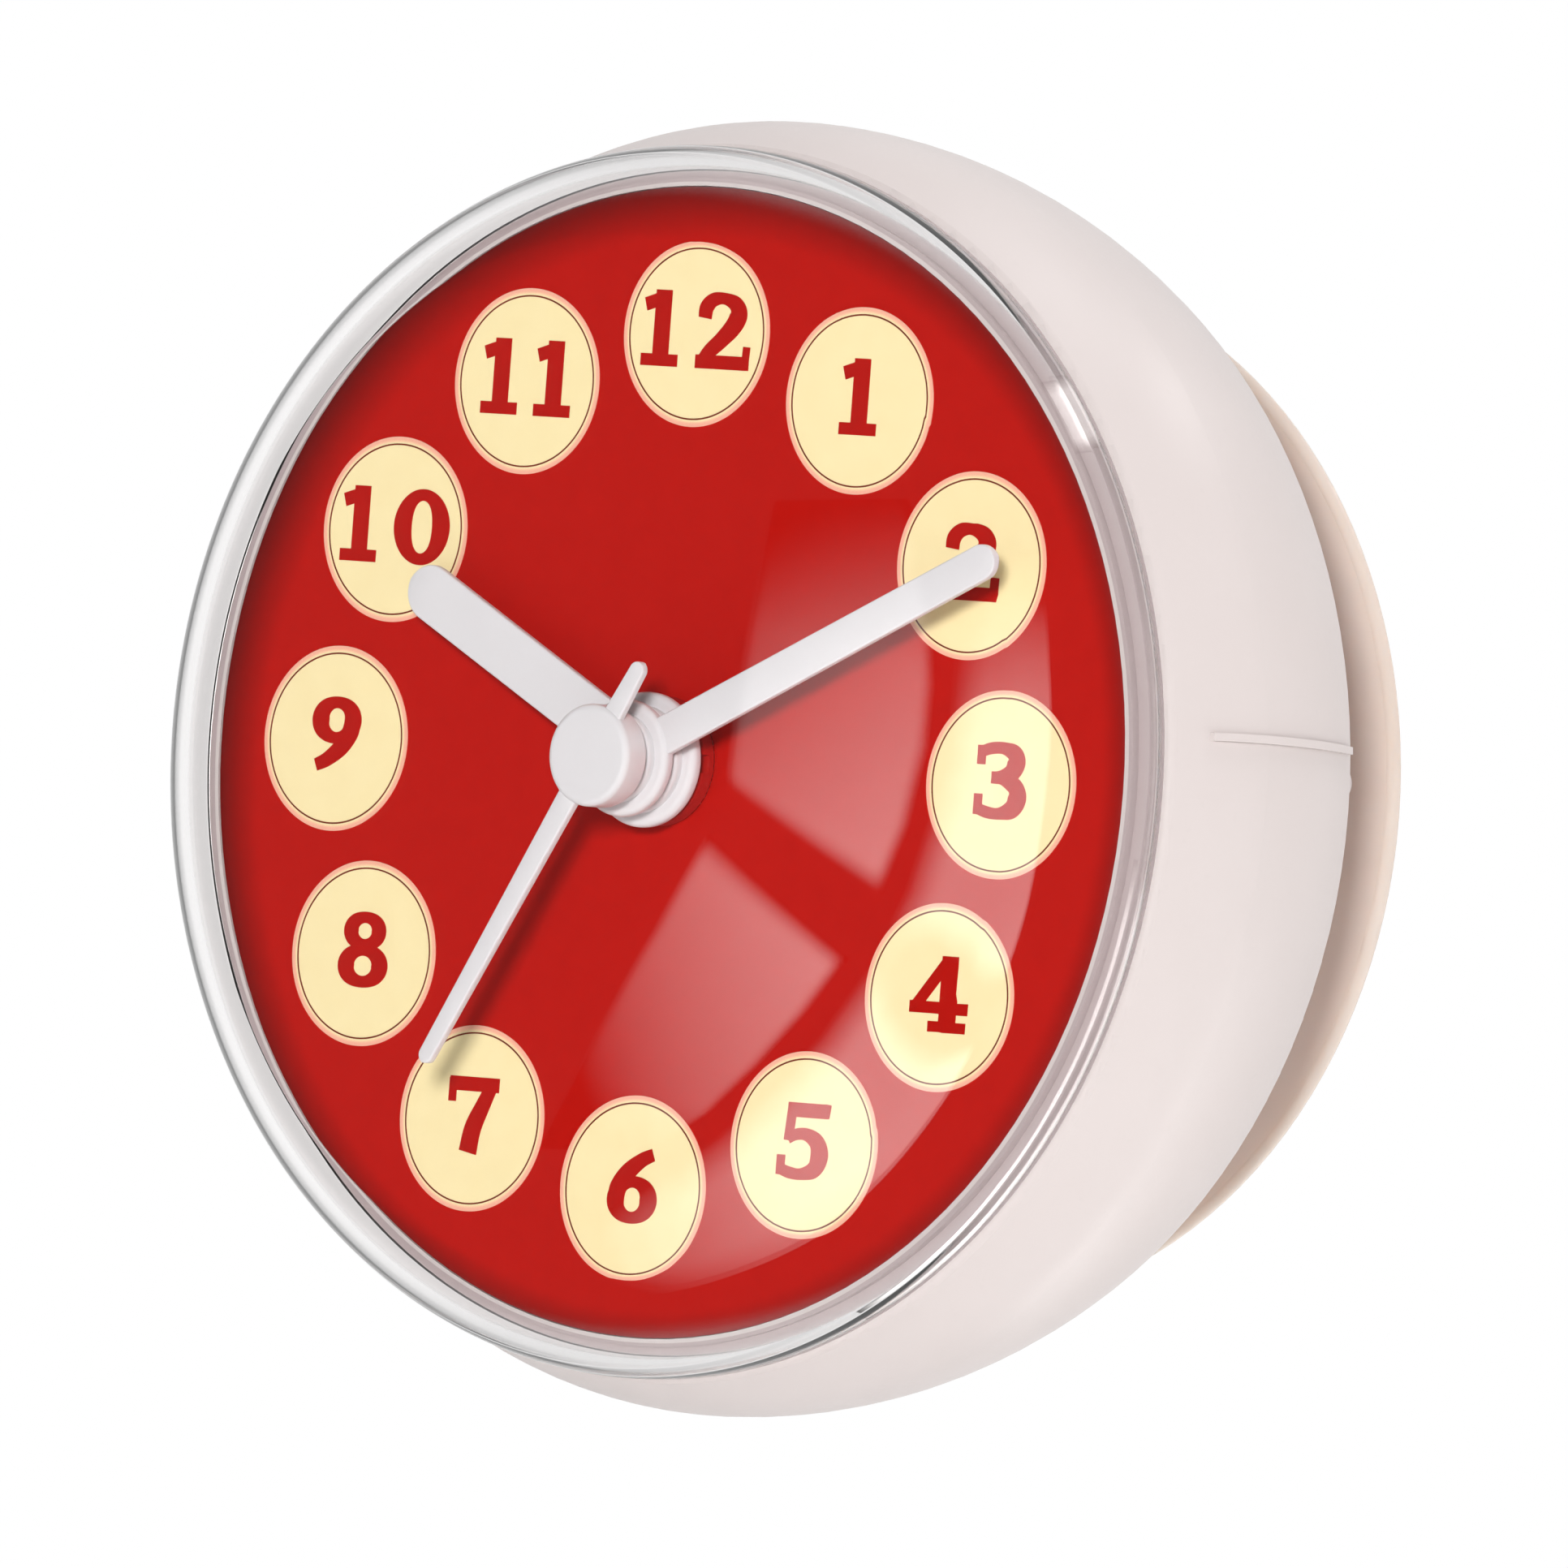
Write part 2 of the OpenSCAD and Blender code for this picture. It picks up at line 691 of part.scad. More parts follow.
module bush_nut() {
    color("goldenrod")
        difference() {
            rod(nut_d / 2, dial_face + washer_t, nut_top);
            rod(bush_d / 2 + push_clear, dial_face, nut_top + 1);
            translate([-nut_d, -key_w / 2, nut_top - key_deep]) cube([2 * nut_d, key_w, nut_t]);
        }
}

// Motion work and going train
module hour_wheel() {
    color("ivory")
        difference() {
            union() {
                translate([0, 0, level(1)])
                    wheel(hour_teeth, hour_module, wheel_t, bearing([0, 0], minute_xy));
                rod(hour_tube_d / 2, level(1), hour_hand_h + hub_t - tube_short);
            }
            rod(cannon_d / 2 + run_clear, level(1) - 1, hour_hand_h + hub_t);
        }
}

module cannon_pinion() {
    color("ivory")
        difference() {
            union() {
                pinion_at(cannon_leaves, motion_module, 2, bearing([0, 0], minute_xy));
                rod(cannon_d / 2, level(3), minute_hand_h + hub_t - tube_short);
            }
            rod(second_d / 2 + run_clear, level(3) - 1, minute_hand_h + hub_t);
        }
}

module center_wheel() {
    color("ivory")
        difference() {
            translate([0, 0, level(3)])
                wheel(center_teeth, center_module, wheel_t, bearing([0, 0], third_xy));
            rod(cannon_d / 2 + push_clear, level(3) - 1, level(3) + wheel_t + 1);
        }
}

module minute_wheel() {
    color("ivory")
        translate(minute_xy)
            difference() {
                union() {
                    translate([0, 0, level(2)])
                        wheel(minute_teeth, motion_module, wheel_t, bearing(minute_xy, [0, 0]));
                    translate([0, 0, level(2)])
                        pinion(minute_leaves, hour_module, plate_in - first_gap - level(2),
                            bearing(minute_xy, [0, 0]));
                }
                rod(post_d / 2 + run_clear, level(2) - 1, plate_in);
            }
}

module third_wheel() {
    color("ivory")
        translate(third_xy) {
            translate([0, 0, level(4)])
                wheel(third_teeth, train_module, wheel_t, bearing(third_xy, [0, 0]));
            pinion_at(third_leaves, center_module, 3, bearing(third_xy, [0, 0]));
            arbor();
        }
}

// An arbor runs from its pivot in the cover to its pivot in the base
module arbor() {
    rod(arbor_d / 2, cover_in - rear_pivot + run_clear, plate_in + front_pivot - run_clear);
}

module second_wheel() {
    color("ivory") {
        translate([0, 0, level(5)])
            wheel(second_teeth, train_module, wheel_t, bearing([0, 0], intermediate_xy));
        pinion_at(second_leaves, train_module, 4, bearing([0, 0], third_xy));
        rod(second_d / 2, cover_in - rear_pivot + run_clear, cap_top - cap_roof - run_clear);
    }
}

module intermediate_wheel() {
    color("ivory")
        translate(intermediate_xy) {
            translate([0, 0, level(6)])
                wheel(intermediate_teeth, train_module, wheel_t, bearing(intermediate_xy, rotor_xy));
            pinion_at(intermediate_leaves, train_module, 5, bearing(intermediate_xy, [0, 0]));
            arbor();
        }
}

module rotor_pinion() {
    color("ivory")
        translate(rotor_xy) {
            pinion_at(rotor_teeth, train_module, 6, bearing(rotor_xy, intermediate_xy));
            arbor();
        }
}

module rotor_magnet() {
    color("dimgray")
        translate(rotor_xy)
            tube(magnet_d / 2, arbor_d / 2 + push_clear, magnet_top - magnet_t, magnet_top);
}

module stator_arm(end) {
    across = bearing(rotor_xy, end) + 90;
    near = magnet_d / 2 + air_gap + yoke_w / 2;
    polygon([
        rotor_xy + near * aim(across),
        rotor_xy - near * aim(across),
        end - arm_half * aim(across),
        end + arm_half * aim(across)
    ]);
    translate(end) circle(eye_r);
}

module stator_plate() {
    color("slategray")
        translate([0, 0, stator_low])
            linear_extrude(stator_t)
                difference() {
                    union() {
                        translate(rotor_xy) circle(magnet_d / 2 + air_gap + yoke_w);
                        for (end = core_ends) stator_arm(end);
                    }
                    translate(rotor_xy) circle(magnet_d / 2 + air_gap);
                }
}

module coil_core() {
    color("slategray") {
        translate([coil_x, coil_up, 0])
            slab(2 * coil_end, core_w, coil_h - core_w / 2, core_top);
        for (p = core_ends) {
            translate(p) rod(pillar_r, stator_top, core_top);
        }
    }
}

module along_coil() {
    translate([coil_x, coil_up, coil_h]) rotate([0, 90, 0]) children();
}

module coil_bobbin() {
    hole_w = core_w + 2 * run_clear;
    color("gray")
        along_coil()
            difference() {
                union() {
                    cylinder(r = spool_r, h = coil_l, center = true);
                    for (s = [-1, 1]) {
                        translate([0, 0, s * (coil_l + flange_t) / 2])
                            cylinder(r = flange_r, h = flange_t, center = true);
                    }
                }
                cube([hole_w, hole_w, 2 * coil_l], center = true);
            }
}

module coil_winding() {
    color("peru")
        along_coil()
            difference() {
                cylinder(r = coil_d / 2, h = coil_l, center = true);
                cylinder(r = spool_r, h = coil_l + 1, center = true);
            }
}

module circuit_board() {
    color("darkgreen")
        translate(board_xy) slab(board_w, board_l, board_low, board_top);
}

module clock_chip() {
    blob_r = 2.6;
    blob_h = 1.1;
    ball = (blob_r * blob_r + blob_h * blob_h) / (2 * blob_h);
    color("black")
        translate([chip_at[0], chip_at[1], board_top])
            intersection() {
                translate([0, 0, blob_h - ball]) sphere(ball);
                cylinder(r = blob_r + 1, h = blob_h + 1);
            }
}

module quartz_crystal() {
    color("silver")
        translate([crystal_at[0], crystal_at[1], board_top + crystal_d / 2])
            rotate([-90, 0, 0]) cylinder(d = crystal_d, h = crystal_l);
}

// Cell and its contacts
module battery() {
    color("gold")
        translate([0, battery_y, battery_h])
            rotate([0, 90, 0]) {
                translate([0, 0, -battery_l / 2]) cylinder(d = battery_d, h = battery_l - cap_h);
                translate([0, 0, battery_l / 2 - cap_h - eps]) cylinder(d = cap_d, h = cap_h + eps);
            }
}

// A strip against the bay's end wall, with a boss that reaches the cell
module contact(side) {
    wall_x = movement_half - movement_wall - eps;
    boss_l = wall_x - contact_t - battery_l / 2 - run_clear;
    color("silver")
        translate([0, battery_y, battery_h])
            mirror([side < 0 ? 1 : 0, 0, 0]) {
                translate([wall_x - contact_t, -contact_h / 2, -contact_w / 2])
                    cube([contact_t, contact_h, contact_w]);
                translate([wall_x - contact_t + eps, 0, 0])
                    rotate([0, -90, 0]) cylinder(d = cap_d - 1, h = boss_l + eps);
            }
}

module contact_plus() {
    contact(1);
}

module contact_minus() {
    contact(-1);
}

// Knob that sets the hands, with its pinion in mesh with the minute wheel
module setting_knob() {
    grips = 16;
    grip_r = 0.5;
    color("gray")
        translate(setting_xy) {
            difference() {
                rod(knob_d / 2, movement_back - knob_h, movement_back - run_clear);
                for (i = [0 : grips - 1]) {
                    translate(knob_d / 2 * aim(360 / grips * i))
                        rod(grip_r, movement_back - knob_h - 1, movement_back + 1);
                }
            }
            rod(knob_shaft_d / 2, movement_back - knob_h / 2, level(2));
            rod(knob_shaft_d / 4, level(2), plate_in + front_pivot - run_clear);
            translate([0, 0, level(2) - pinion_over])
                linear_extrude(wheel_t + 2 * pinion_over)
                    polygon(gear_outline(setting_leaves, motion_module, leaf_form, setting_turn()));
        }
}

// The minute wheel is already in phase with the cannon pinion, so the knob's pinion follows it
function setting_turn() =
    let (
        to_knob = bearing(minute_xy, setting_xy),
        pitch = 360 / minute_teeth,
        lag = (to_knob - bearing(minute_xy, [0, 0]) + 720) % pitch
    )
    to_knob + 180 + lag * minute_teeth / setting_leaves + 180 / setting_leaves;

// Hands, drawn towards 12 and turned clockwise
module blade(len, hub_w, tip_w) {
    polygon([
        [-hub_w / 2, 0], [hub_w / 2, 0],
        [tip_w / 2, len - tip_w / 2], [-tip_w / 2, len - tip_w / 2]
    ]);
    translate([0, len - tip_w / 2]) circle(tip_w / 2);
}

module hand(low, hub_r, hole_r, len, hub_w, tip_w, at) {
    boss_top = low + hub_t + hub_gap - boss_play;
    difference() {
        union() {
            rod(hub_r, low, low + hub_t);
            rod(hub_r - boss_in, low, boss_top);
            rotate([0, 0, -at])
                translate([0, 0, low + blade_up])
                    linear_extrude(hand_t) blade(len, hub_w, tip_w);
        }
        rod(hole_r, low - 1, boss_top + 1);
    }
}

module hour_hand() {
    color("whitesmoke")
        hand(hour_hand_h, hour_hub_d / 2, hour_tube_d / 2 + push_clear,
            hour_len, hour_w, hour_w, hour_at);
}

module minute_hand() {
    color("whitesmoke")
        hand(minute_hand_h, minute_hub_d / 2, cannon_d / 2 + push_clear,
            minute_len, minute_w, minute_tip_w, minute_at);
}

module second_hand() {
    color("whitesmoke")
        difference() {
            union() {
                rod(cap_hub_d / 2, second_hand_h, cap_top);
                rotate([0, 0, -second_at])
                    translate([0, 0, cap_top - blade_up - hand_t])
                        linear_extrude(hand_t) {
                            blade(second_len, second_w, second_tip_w);
                            rotate(180) blade(second_tail, second_w, second_tip_w);
                        }
            }
            rod(second_d / 2 + push_clear, second_hand_h - 1, cap_top - cap_roof);
        }
}

// Rear cover: plate, spigot ring with three lugs, socket for the cup and an index tab
module rear_cover() {
    plate_r = recess_r - cover_play;
    spigot_r = rear_open_r - cover_play;
    socket_low = crown_h + boss_gap;
    socket_top = crown_h + neck_l + head_h + socket_play;
    color("whitesmoke")
        difference() {
            union() {
                rod(plate_r, cover_back, cover_front);
                tube(spigot_r, spigot_r - spigot_wall, cover_front - eps, lug_top);
                for (i = [0 : 2]) {
                    ring_sector(spigot_r - spigot_wall / 2, lug_r, lug_low, lug_top,
                        120 * i + lug_from, lug_w);
                }
                rod(head_r + socket_play + socket_wall, socket_low, cover_back + eps);
                rotate([0, 0, tab_at])
                    translate([plate_r - tab_w / 2 - seal_inset, 0, 0])
                        rod(tab_w / 2, cover_back - tab_h, cover_back + eps);
            }
            rod(neck_r + socket_play, socket_low - 1, socket_top);
            rod(head_r + socket_play, crown_h + neck_l - socket_play, socket_top);
        }
}

module rear_gasket() {
    color("gainsboro")
        tube(recess_r - cover_play, slot_r + seal_inset, cover_front, cover_front + rear_gasket_t);
}

// Suction cup: a shallow dome with a thin flat lip, a crown, a neck and a button head
module cap_arc(edge_r, edge_h, mid_r, mid_h) {
    heart = (edge_r * edge_r + edge_h * edge_h - mid_r * mid_r - mid_h * mid_h) / (2 * (edge_h - mid_h));
    translate([0, heart]) circle(norm([edge_r, edge_h - heart]), $fn = 400);
}

module suction_cup() {
    round_r = lip_t / 2;
    color("wheat")
        rotate_extrude()
            difference() {
                union() {
                    intersection() {
                        cap_arc(cup_r - round_r, lip_t, crown_r, crown_h);
                        square([cup_r - round_r, crown_h]);
                    }
                    translate([cup_r - round_r, round_r]) circle(round_r);
                    square([neck_r, crown_h + neck_l + eps]);
                    translate([0, crown_h + neck_l]) square([head_r, head_h]);
                }
                intersection() {
                    cap_arc(cup_r - round_r - lip_flat, 0, 0, chamber_h);
                    translate([0, -1]) square([cup_r, chamber_h + 2]);
                }
            }
}

upright() case_body();
upright() front_lens();
upright() lens_gasket();
upright() dial_plate();
upright() movement_base();
upright() movement_cover();
upright() center_bush();
upright() bush_washer();
upright() bush_nut();
upright() hour_wheel();
upright() cannon_pinion();
upright() center_wheel();
upright() minute_wheel();
upright() third_wheel();
upright() second_wheel();
upright() intermediate_wheel();
upright() rotor_pinion();
upright() rotor_magnet();
upright() stator_plate();
upright() coil_core();
upright() coil_bobbin();
upright() coil_winding();
upright() circuit_board();
upright() clock_chip();
upright() quartz_crystal();
upright() battery();
upright() contact_plus();
upright() contact_minus();
upright() setting_knob();
upright() hour_hand();
upright() minute_hand();
upright() second_hand();
upright() rear_cover();
upright() rear_gasket();
upright() suction_cup();
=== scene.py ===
"""Looks of a suction-cup clock: finishes for its solids, a printed dial, moulded hands and a small studio."""

import logging
import math
from dataclasses import dataclass
from enum import Enum
from typing import Optional, Union

import bpy
import numpy as np
from mathutils import Matrix, Vector


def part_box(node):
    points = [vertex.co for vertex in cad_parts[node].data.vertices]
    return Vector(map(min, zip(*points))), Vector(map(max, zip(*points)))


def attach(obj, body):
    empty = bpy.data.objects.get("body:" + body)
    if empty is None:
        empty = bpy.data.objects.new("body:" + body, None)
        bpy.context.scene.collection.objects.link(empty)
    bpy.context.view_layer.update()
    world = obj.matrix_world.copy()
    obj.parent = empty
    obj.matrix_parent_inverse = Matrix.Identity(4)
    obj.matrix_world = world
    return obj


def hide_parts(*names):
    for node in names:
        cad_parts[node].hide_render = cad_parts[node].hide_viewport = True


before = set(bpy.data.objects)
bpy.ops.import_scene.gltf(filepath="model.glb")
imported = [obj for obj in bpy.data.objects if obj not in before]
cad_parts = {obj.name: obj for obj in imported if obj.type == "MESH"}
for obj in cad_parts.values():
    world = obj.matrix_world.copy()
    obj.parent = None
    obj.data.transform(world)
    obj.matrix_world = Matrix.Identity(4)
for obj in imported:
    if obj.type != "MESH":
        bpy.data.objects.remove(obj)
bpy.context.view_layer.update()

MM = 0.001
LOG = logging.getLogger("clock")

Colour = tuple[float, float, float]
Factors = tuple[float, float, float]
Band = tuple[float, float]
Spot = tuple[float, float]
Number = Union[float, "Value"]

BLACK_OUT: Colour = (0.0, 0.0, 0.0)
EVEN: Factors = (1.0, 1.0, 1.0)
PLASTIC_IOR = 1.5
INK_IOR = 1.45


class Value:
    """A shader value that takes part in Python sums; each operator adds one Math node."""

    def __init__(self, graph: "Graph", socket: bpy.types.NodeSocket) -> None:
        """Hold a socket and the graph that it belongs to."""
        self.graph = graph
        self.socket = socket

    def math(self, operation: str, first: Number, second: Number = 0.0) -> "Value":
        """Add one Math node; operations on one value leave the second operand unused."""
        node = self.graph.add("ShaderNodeMath", {"operation": operation}, {0: first, 1: second})
        return Value(self.graph, node.outputs[0])

    def __add__(self, other: Number) -> "Value":
        """Sum of two values."""
        return self.math("ADD", self, other)

    def __radd__(self, other: Number) -> "Value":
        """Sum with a plain number in front."""
        return self.math("ADD", other, self)

    def __sub__(self, other: Number) -> "Value":
        """Difference of two values."""
        return self.math("SUBTRACT", self, other)

    def __rsub__(self, other: Number) -> "Value":
        """Difference from a plain number."""
        return self.math("SUBTRACT", other, self)

    def __mul__(self, other: Number) -> "Value":
        """Product of two values."""
        return self.math("MULTIPLY", self, other)

    def __rmul__(self, other: Number) -> "Value":
        """Product with a plain number in front."""
        return self.math("MULTIPLY", other, self)

    def __truediv__(self, other: Number) -> "Value":
        """Quotient of two values."""
        return self.math("DIVIDE", self, other)

    def __rtruediv__(self, other: Number) -> "Value":
        """Quotient of a plain number by the value."""
        return self.math("DIVIDE", other, self)

    def sine(self) -> "Value":
        """Sine of the value in radians."""
        return self.math("SINE", self)

    def root(self) -> "Value":
        """Square root of the value."""
        return self.math("SQRT", self)

    def most(self, other: Number) -> "Value":
        """The larger of two values."""
        return self.math("MAXIMUM", self, other)

    def least(self, other: Number) -> "Value":
        """The smaller of two values."""
        return self.math("MINIMUM", self, other)

    def clipped(self) -> "Value":
        """The value kept between 0 and 1."""
        return self.most(0.0).least(1.0)

    def sway(self, depth: float, middle: float = 0.5) -> "Value":
        """The value's way from its middle, times a depth."""
        return (self - middle) * depth


class Graph:
    """A node tree that is filled from Python expressions."""

    def __init__(self, tree: bpy.types.NodeTree) -> None:
        """Start from an empty tree."""
        self.tree = tree
        tree.nodes.clear()

    def add(self, kind: str, settings: Optional[dict] = None,
            sockets: Optional[dict] = None) -> bpy.types.Node:
        """Add one node.

        Args:
            kind: Type name of the node.
            settings: Attributes to set first.
            sockets: Input sockets by name or number, each with a value or a link.

        Returns:
            The new node.
        """
        node = self.tree.nodes.new(kind)
        for key, setting in (settings or {}).items():
            setattr(node, key, setting)
        for key, value in (sockets or {}).items():
            if isinstance(value, Value):
                self.tree.links.new(value.socket, node.inputs[key])
            else:
                node.inputs[key].default_value = value
        return node

    def value(self, kind: str, output: Union[str, int], settings: Optional[dict] = None,
              sockets: Optional[dict] = None) -> Value:
        """Add one node and give one of its outputs."""
        return Value(self, self.add(kind, settings, sockets).outputs[output])

    def place(self) -> Value:
        """The point on the surface in the part's own frame, in metres."""
        return self.value("ShaderNodeTexCoord", "Object")

    def axes(self, vector: Value) -> tuple[Value, Value, Value]:
        """The three numbers of a vector."""
        node = self.add("ShaderNodeSeparateXYZ", None, {0: vector})
        return tuple(Value(self, out) for out in node.outputs)

    def reach(self, first: Value, second: Value) -> Value:
        """Distance from the axis of two coordinates: the root of the sum of their squares."""
        return (first * first + second * second).root()

    def stored(self, name: str) -> Value:
        """A number that the mesh stores at its points."""
        return self.value("ShaderNodeAttribute", "Fac", {"attribute_name": name})

    def noise(self, size_mm: float, detail: float = 2.0, stretch: Factors = EVEN) -> Value:
        """Cloudy noise from 0 to 1.

        Args:
            size_mm: Width of its largest blots.
            detail: How many finer octaves it has.
            stretch: Factors on the three axes; a small one draws the blots out.

        Returns:
            The noise's value.
        """
        where = self.place()
        if stretch != EVEN:
            where = self.value("ShaderNodeVectorMath", 0, {"operation": "MULTIPLY"}, {0: where, 1: stretch})
        return self.value("ShaderNodeTexNoise", 0, None,
                          {"Vector": where, "Scale": 1.0 / (size_mm * MM), "Detail": detail})

    def blend(self, share: Number, first: Union[Colour, Value], second: Union[Colour, Value]) -> Value:
        """Mix two colours by a share from 0 to 1."""
        sides = [c if isinstance(c, Value) else (*c, 1.0) for c in (first, second)]
        return self.value("ShaderNodeMix", 2, {"data_type": "RGBA"}, {0: share, 6: sides[0], 7: sides[1]})

    def ease(self, value: Value, low: float, high: float) -> Value:
        """Smooth step from 0 at low to 1 at high."""
        return self.value("ShaderNodeMapRange", 0, {"interpolation_type": "SMOOTHSTEP"},
                          {"Value": value, "From Min": low, "From Max": high})

    def border(self, value: Value, at_mm: float, soft_mm: float) -> Value:
        """Smooth step across a place in millimetres, as soft as given to both sides."""
        return self.ease(value, (at_mm - soft_mm) * MM, (at_mm + soft_mm) * MM)

    def relief(self, height: Value, depth_mm: float) -> Value:
        """Bumped normal from a height field of the given depth."""
        return self.value("ShaderNodeBump", 0, None, {"Height": height, "Distance": depth_mm * MM})

    def shader(self, sockets: dict) -> Value:
        """A Principled shader with these sockets."""
        return self.value("ShaderNodeBsdfPrincipled", 0, None, sockets)

    def output(self, surface: Value, kind: str = "ShaderNodeOutputMaterial") -> None:
        """Feed the tree's output."""
        self.add(kind, None, {"Surface": surface})


class Finish:
    """A procedural finish; each kind paints one shader."""

    name: str

    def paint(self, graph: Graph) -> Value:
        """Build the shader; each kind of finish has its own."""
        raise NotImplementedError

    def material(self) -> bpy.types.Material:
        """The Blender material of this finish, made once.

        Returns:
            The material with the finish's name.
        """
        found = bpy.data.materials.get("finish_" + self.name)
        if found is not None:
            return found
        made = bpy.data.materials.new("finish_" + self.name)
        made.use_nodes = True
        graph = Graph(made.node_tree)
        graph.output(self.paint(graph))
        return made

    def dress(self, piece: bpy.types.Object) -> None:
        """Give a piece this finish on every slot.

        Args:
            piece: A new piece or a solid of the frame.
        """
        if not piece.material_slots:
            piece.data.materials.append(None)
        for slot in piece.material_slots:
            slot.material = self.material()


@dataclass(frozen=True)
class TwoTone(Finish):
    """A finish whose ground goes between two close tones."""

    name: str
    colour: Colour
    shade: Colour

    def tones(self, graph: Graph, cloud: Value, band: Band = (0.3, 0.7)) -> Value:
        """The two tones, mixed by a cloud over a band of its values."""
        return graph.blend(graph.ease(cloud, *band), self.colour, self.shade)


@dataclass(frozen=True)
class Moulded(TwoTone):
    """Injection-moulded plastic: cloudy tint, fine spark grain and a soft gloss."""

    gloss: float = 0.38
    grain_mm: float = 0.35
    relief_mm: float = 0.004
    dust: float = 0.03
    dust_colour: Colour = (0.35, 0.32, 0.30)
    cloud_mm: float = 14.0
    speck_mm: float = 0.9
    speck_band: Band = (0.70, 0.78)
    grain_sway: float = 0.10
    cloud_sway: float = 0.06

    def tint(self, graph: Graph, cloud: Value) -> Value:
        """The plastic's own colour."""
        return self.tones(graph, cloud)

    def paint(self, graph: Graph) -> Value:
        """Tint by a wide cloud and specks; roughness and bump follow the grain.

        Args:
            graph: The material's node tree.

        Returns:
            The shader.
        """
        grain = graph.noise(self.grain_mm, detail=3.0)
        cloud = graph.noise(self.cloud_mm)
        specks = graph.ease(graph.noise(self.speck_mm, detail=1.0), *self.speck_band)
        return graph.shader({
            "Base Color": graph.blend(specks * self.dust, self.tint(graph, cloud), self.dust_colour),
            "Roughness": self.gloss + grain.sway(self.grain_sway) + cloud.sway(self.cloud_sway),
            "IOR": PLASTIC_IOR,
            "Normal": graph.relief(grain, self.relief_mm),
        })


@dataclass(frozen=True)
class RimmedCase(Moulded):
    """The case's plastic, with painted shade on the step of the rim that the lens's skirt covers."""

    # rim_colour is painted shade: the grey the rim step under the lens's skirt takes in place of its shadow.
    rim_colour: Colour = (0.420, 0.340, 0.340)
    rim_mm: float = 38.70
    rim_soft_mm: float = 0.03
    front_mm: float = 33.4
    front_soft_mm: float = 0.1

    def tint(self, graph: Graph, cloud: Value) -> Value:
        """Two tones, and a greyer painted-shade tone outside the rim's radius and in front of its height.

        Args:
            graph: The material's node tree.
            cloud: The cloud that mixes the two tones.

        Returns:
            The colour.
        """
        x, y, z = graph.axes(graph.place())
        outside = graph.border(graph.reach(x, z), self.rim_mm, self.rim_soft_mm)
        ahead = graph.border(y * -1.0, self.front_mm, self.front_soft_mm)
        # Painted shade on the rim step under the skirt, not a colour of the plastic itself.
        return graph.blend(outside * ahead, super().tint(graph, cloud), self.rim_colour)


@dataclass(frozen=True)
class Printed(TwoTone):
    """Screen-printed ink: slight mottling, a fine tooth and a satin surface."""

    rim_colour: Optional[Colour] = None
    rim_band: Band = (0.925, 0.975)
    gloss: float = 0.5
    sheen: float = 0.06
    mottle_mm: float = 1.6
    mottle_band: Band = (0.25, 0.75)
    tooth_mm: float = 0.12
    tooth_sway: float = 0.12
    relief_mm: float = 0.002

    def ink(self, graph: Graph) -> Value:
        """Mottled ink; where a rim colour is set, the stored edge value tints the outline.

        Args:
            graph: The material's node tree.

        Returns:
            The colour.
        """
        mottled = self.tones(graph, graph.noise(self.mottle_mm, detail=3.0), self.mottle_band)
        if self.rim_colour is None:
            return mottled
        return graph.blend(graph.ease(graph.stored("edge"), *self.rim_band), mottled, self.rim_colour)

    def paint(self, graph: Graph) -> Value:
        """The ink, with a fine tooth in its gloss and relief.

        Args:
            graph: The material's node tree.

        Returns:
            The shader.
        """
        tooth = graph.noise(self.tooth_mm)
        return graph.shader({
            "Base Color": self.ink(graph),
            "Roughness": self.gloss + tooth.sway(self.tooth_sway),
            "IOR": INK_IOR,
            "Specular IOR Level": self.sheen,
            "Normal": graph.relief(tooth, self.relief_mm),
        })


@dataclass(frozen=True)
class ShadedPrint(Printed):
    """Ink of the dial's ground, with painted shadow that darkens it towards the dial's edge, widest at the
    upper left.
    """

    # Colour of the painted shadow that the rim casts over the dial's edge.
    deep: Colour = (0.020, 0.0010, 0.0008)
    edge_mm: float = 38.4
    narrow_mm: float = 1.7
    wide_mm: float = 4.4
    weak: float = 0.42
    strong: float = 0.78

    def ink(self, graph: Graph) -> Value:
        """Paint the rim's shadow over the ink towards the edge.

        The painted shadow's share is one minus the way from the edge over a width, times a strength. A number
        that goes from 0 at the lower right to 1 at the upper left sets the strength, its square the width.

        Args:
            graph: The material's node tree.

        Returns:
            The colour.
        """
        x, _, z = graph.axes(graph.place())
        edge = self.edge_mm * MM
        side = ((z - x) * (0.5 / (math.sqrt(2.0) * edge)) + 0.5).clipped()
        width = (side * side * (self.wide_mm - self.narrow_mm) + self.narrow_mm) * MM
        near = (1.0 - (edge - graph.reach(x, z)) / width).clipped()
        dark = near * (side * (self.strong - self.weak) + self.weak)
        # Painted shadow: the ground darkens near the edge as if the rim shaded it.
        return graph.blend(dark, super().ink(graph), self.deep)


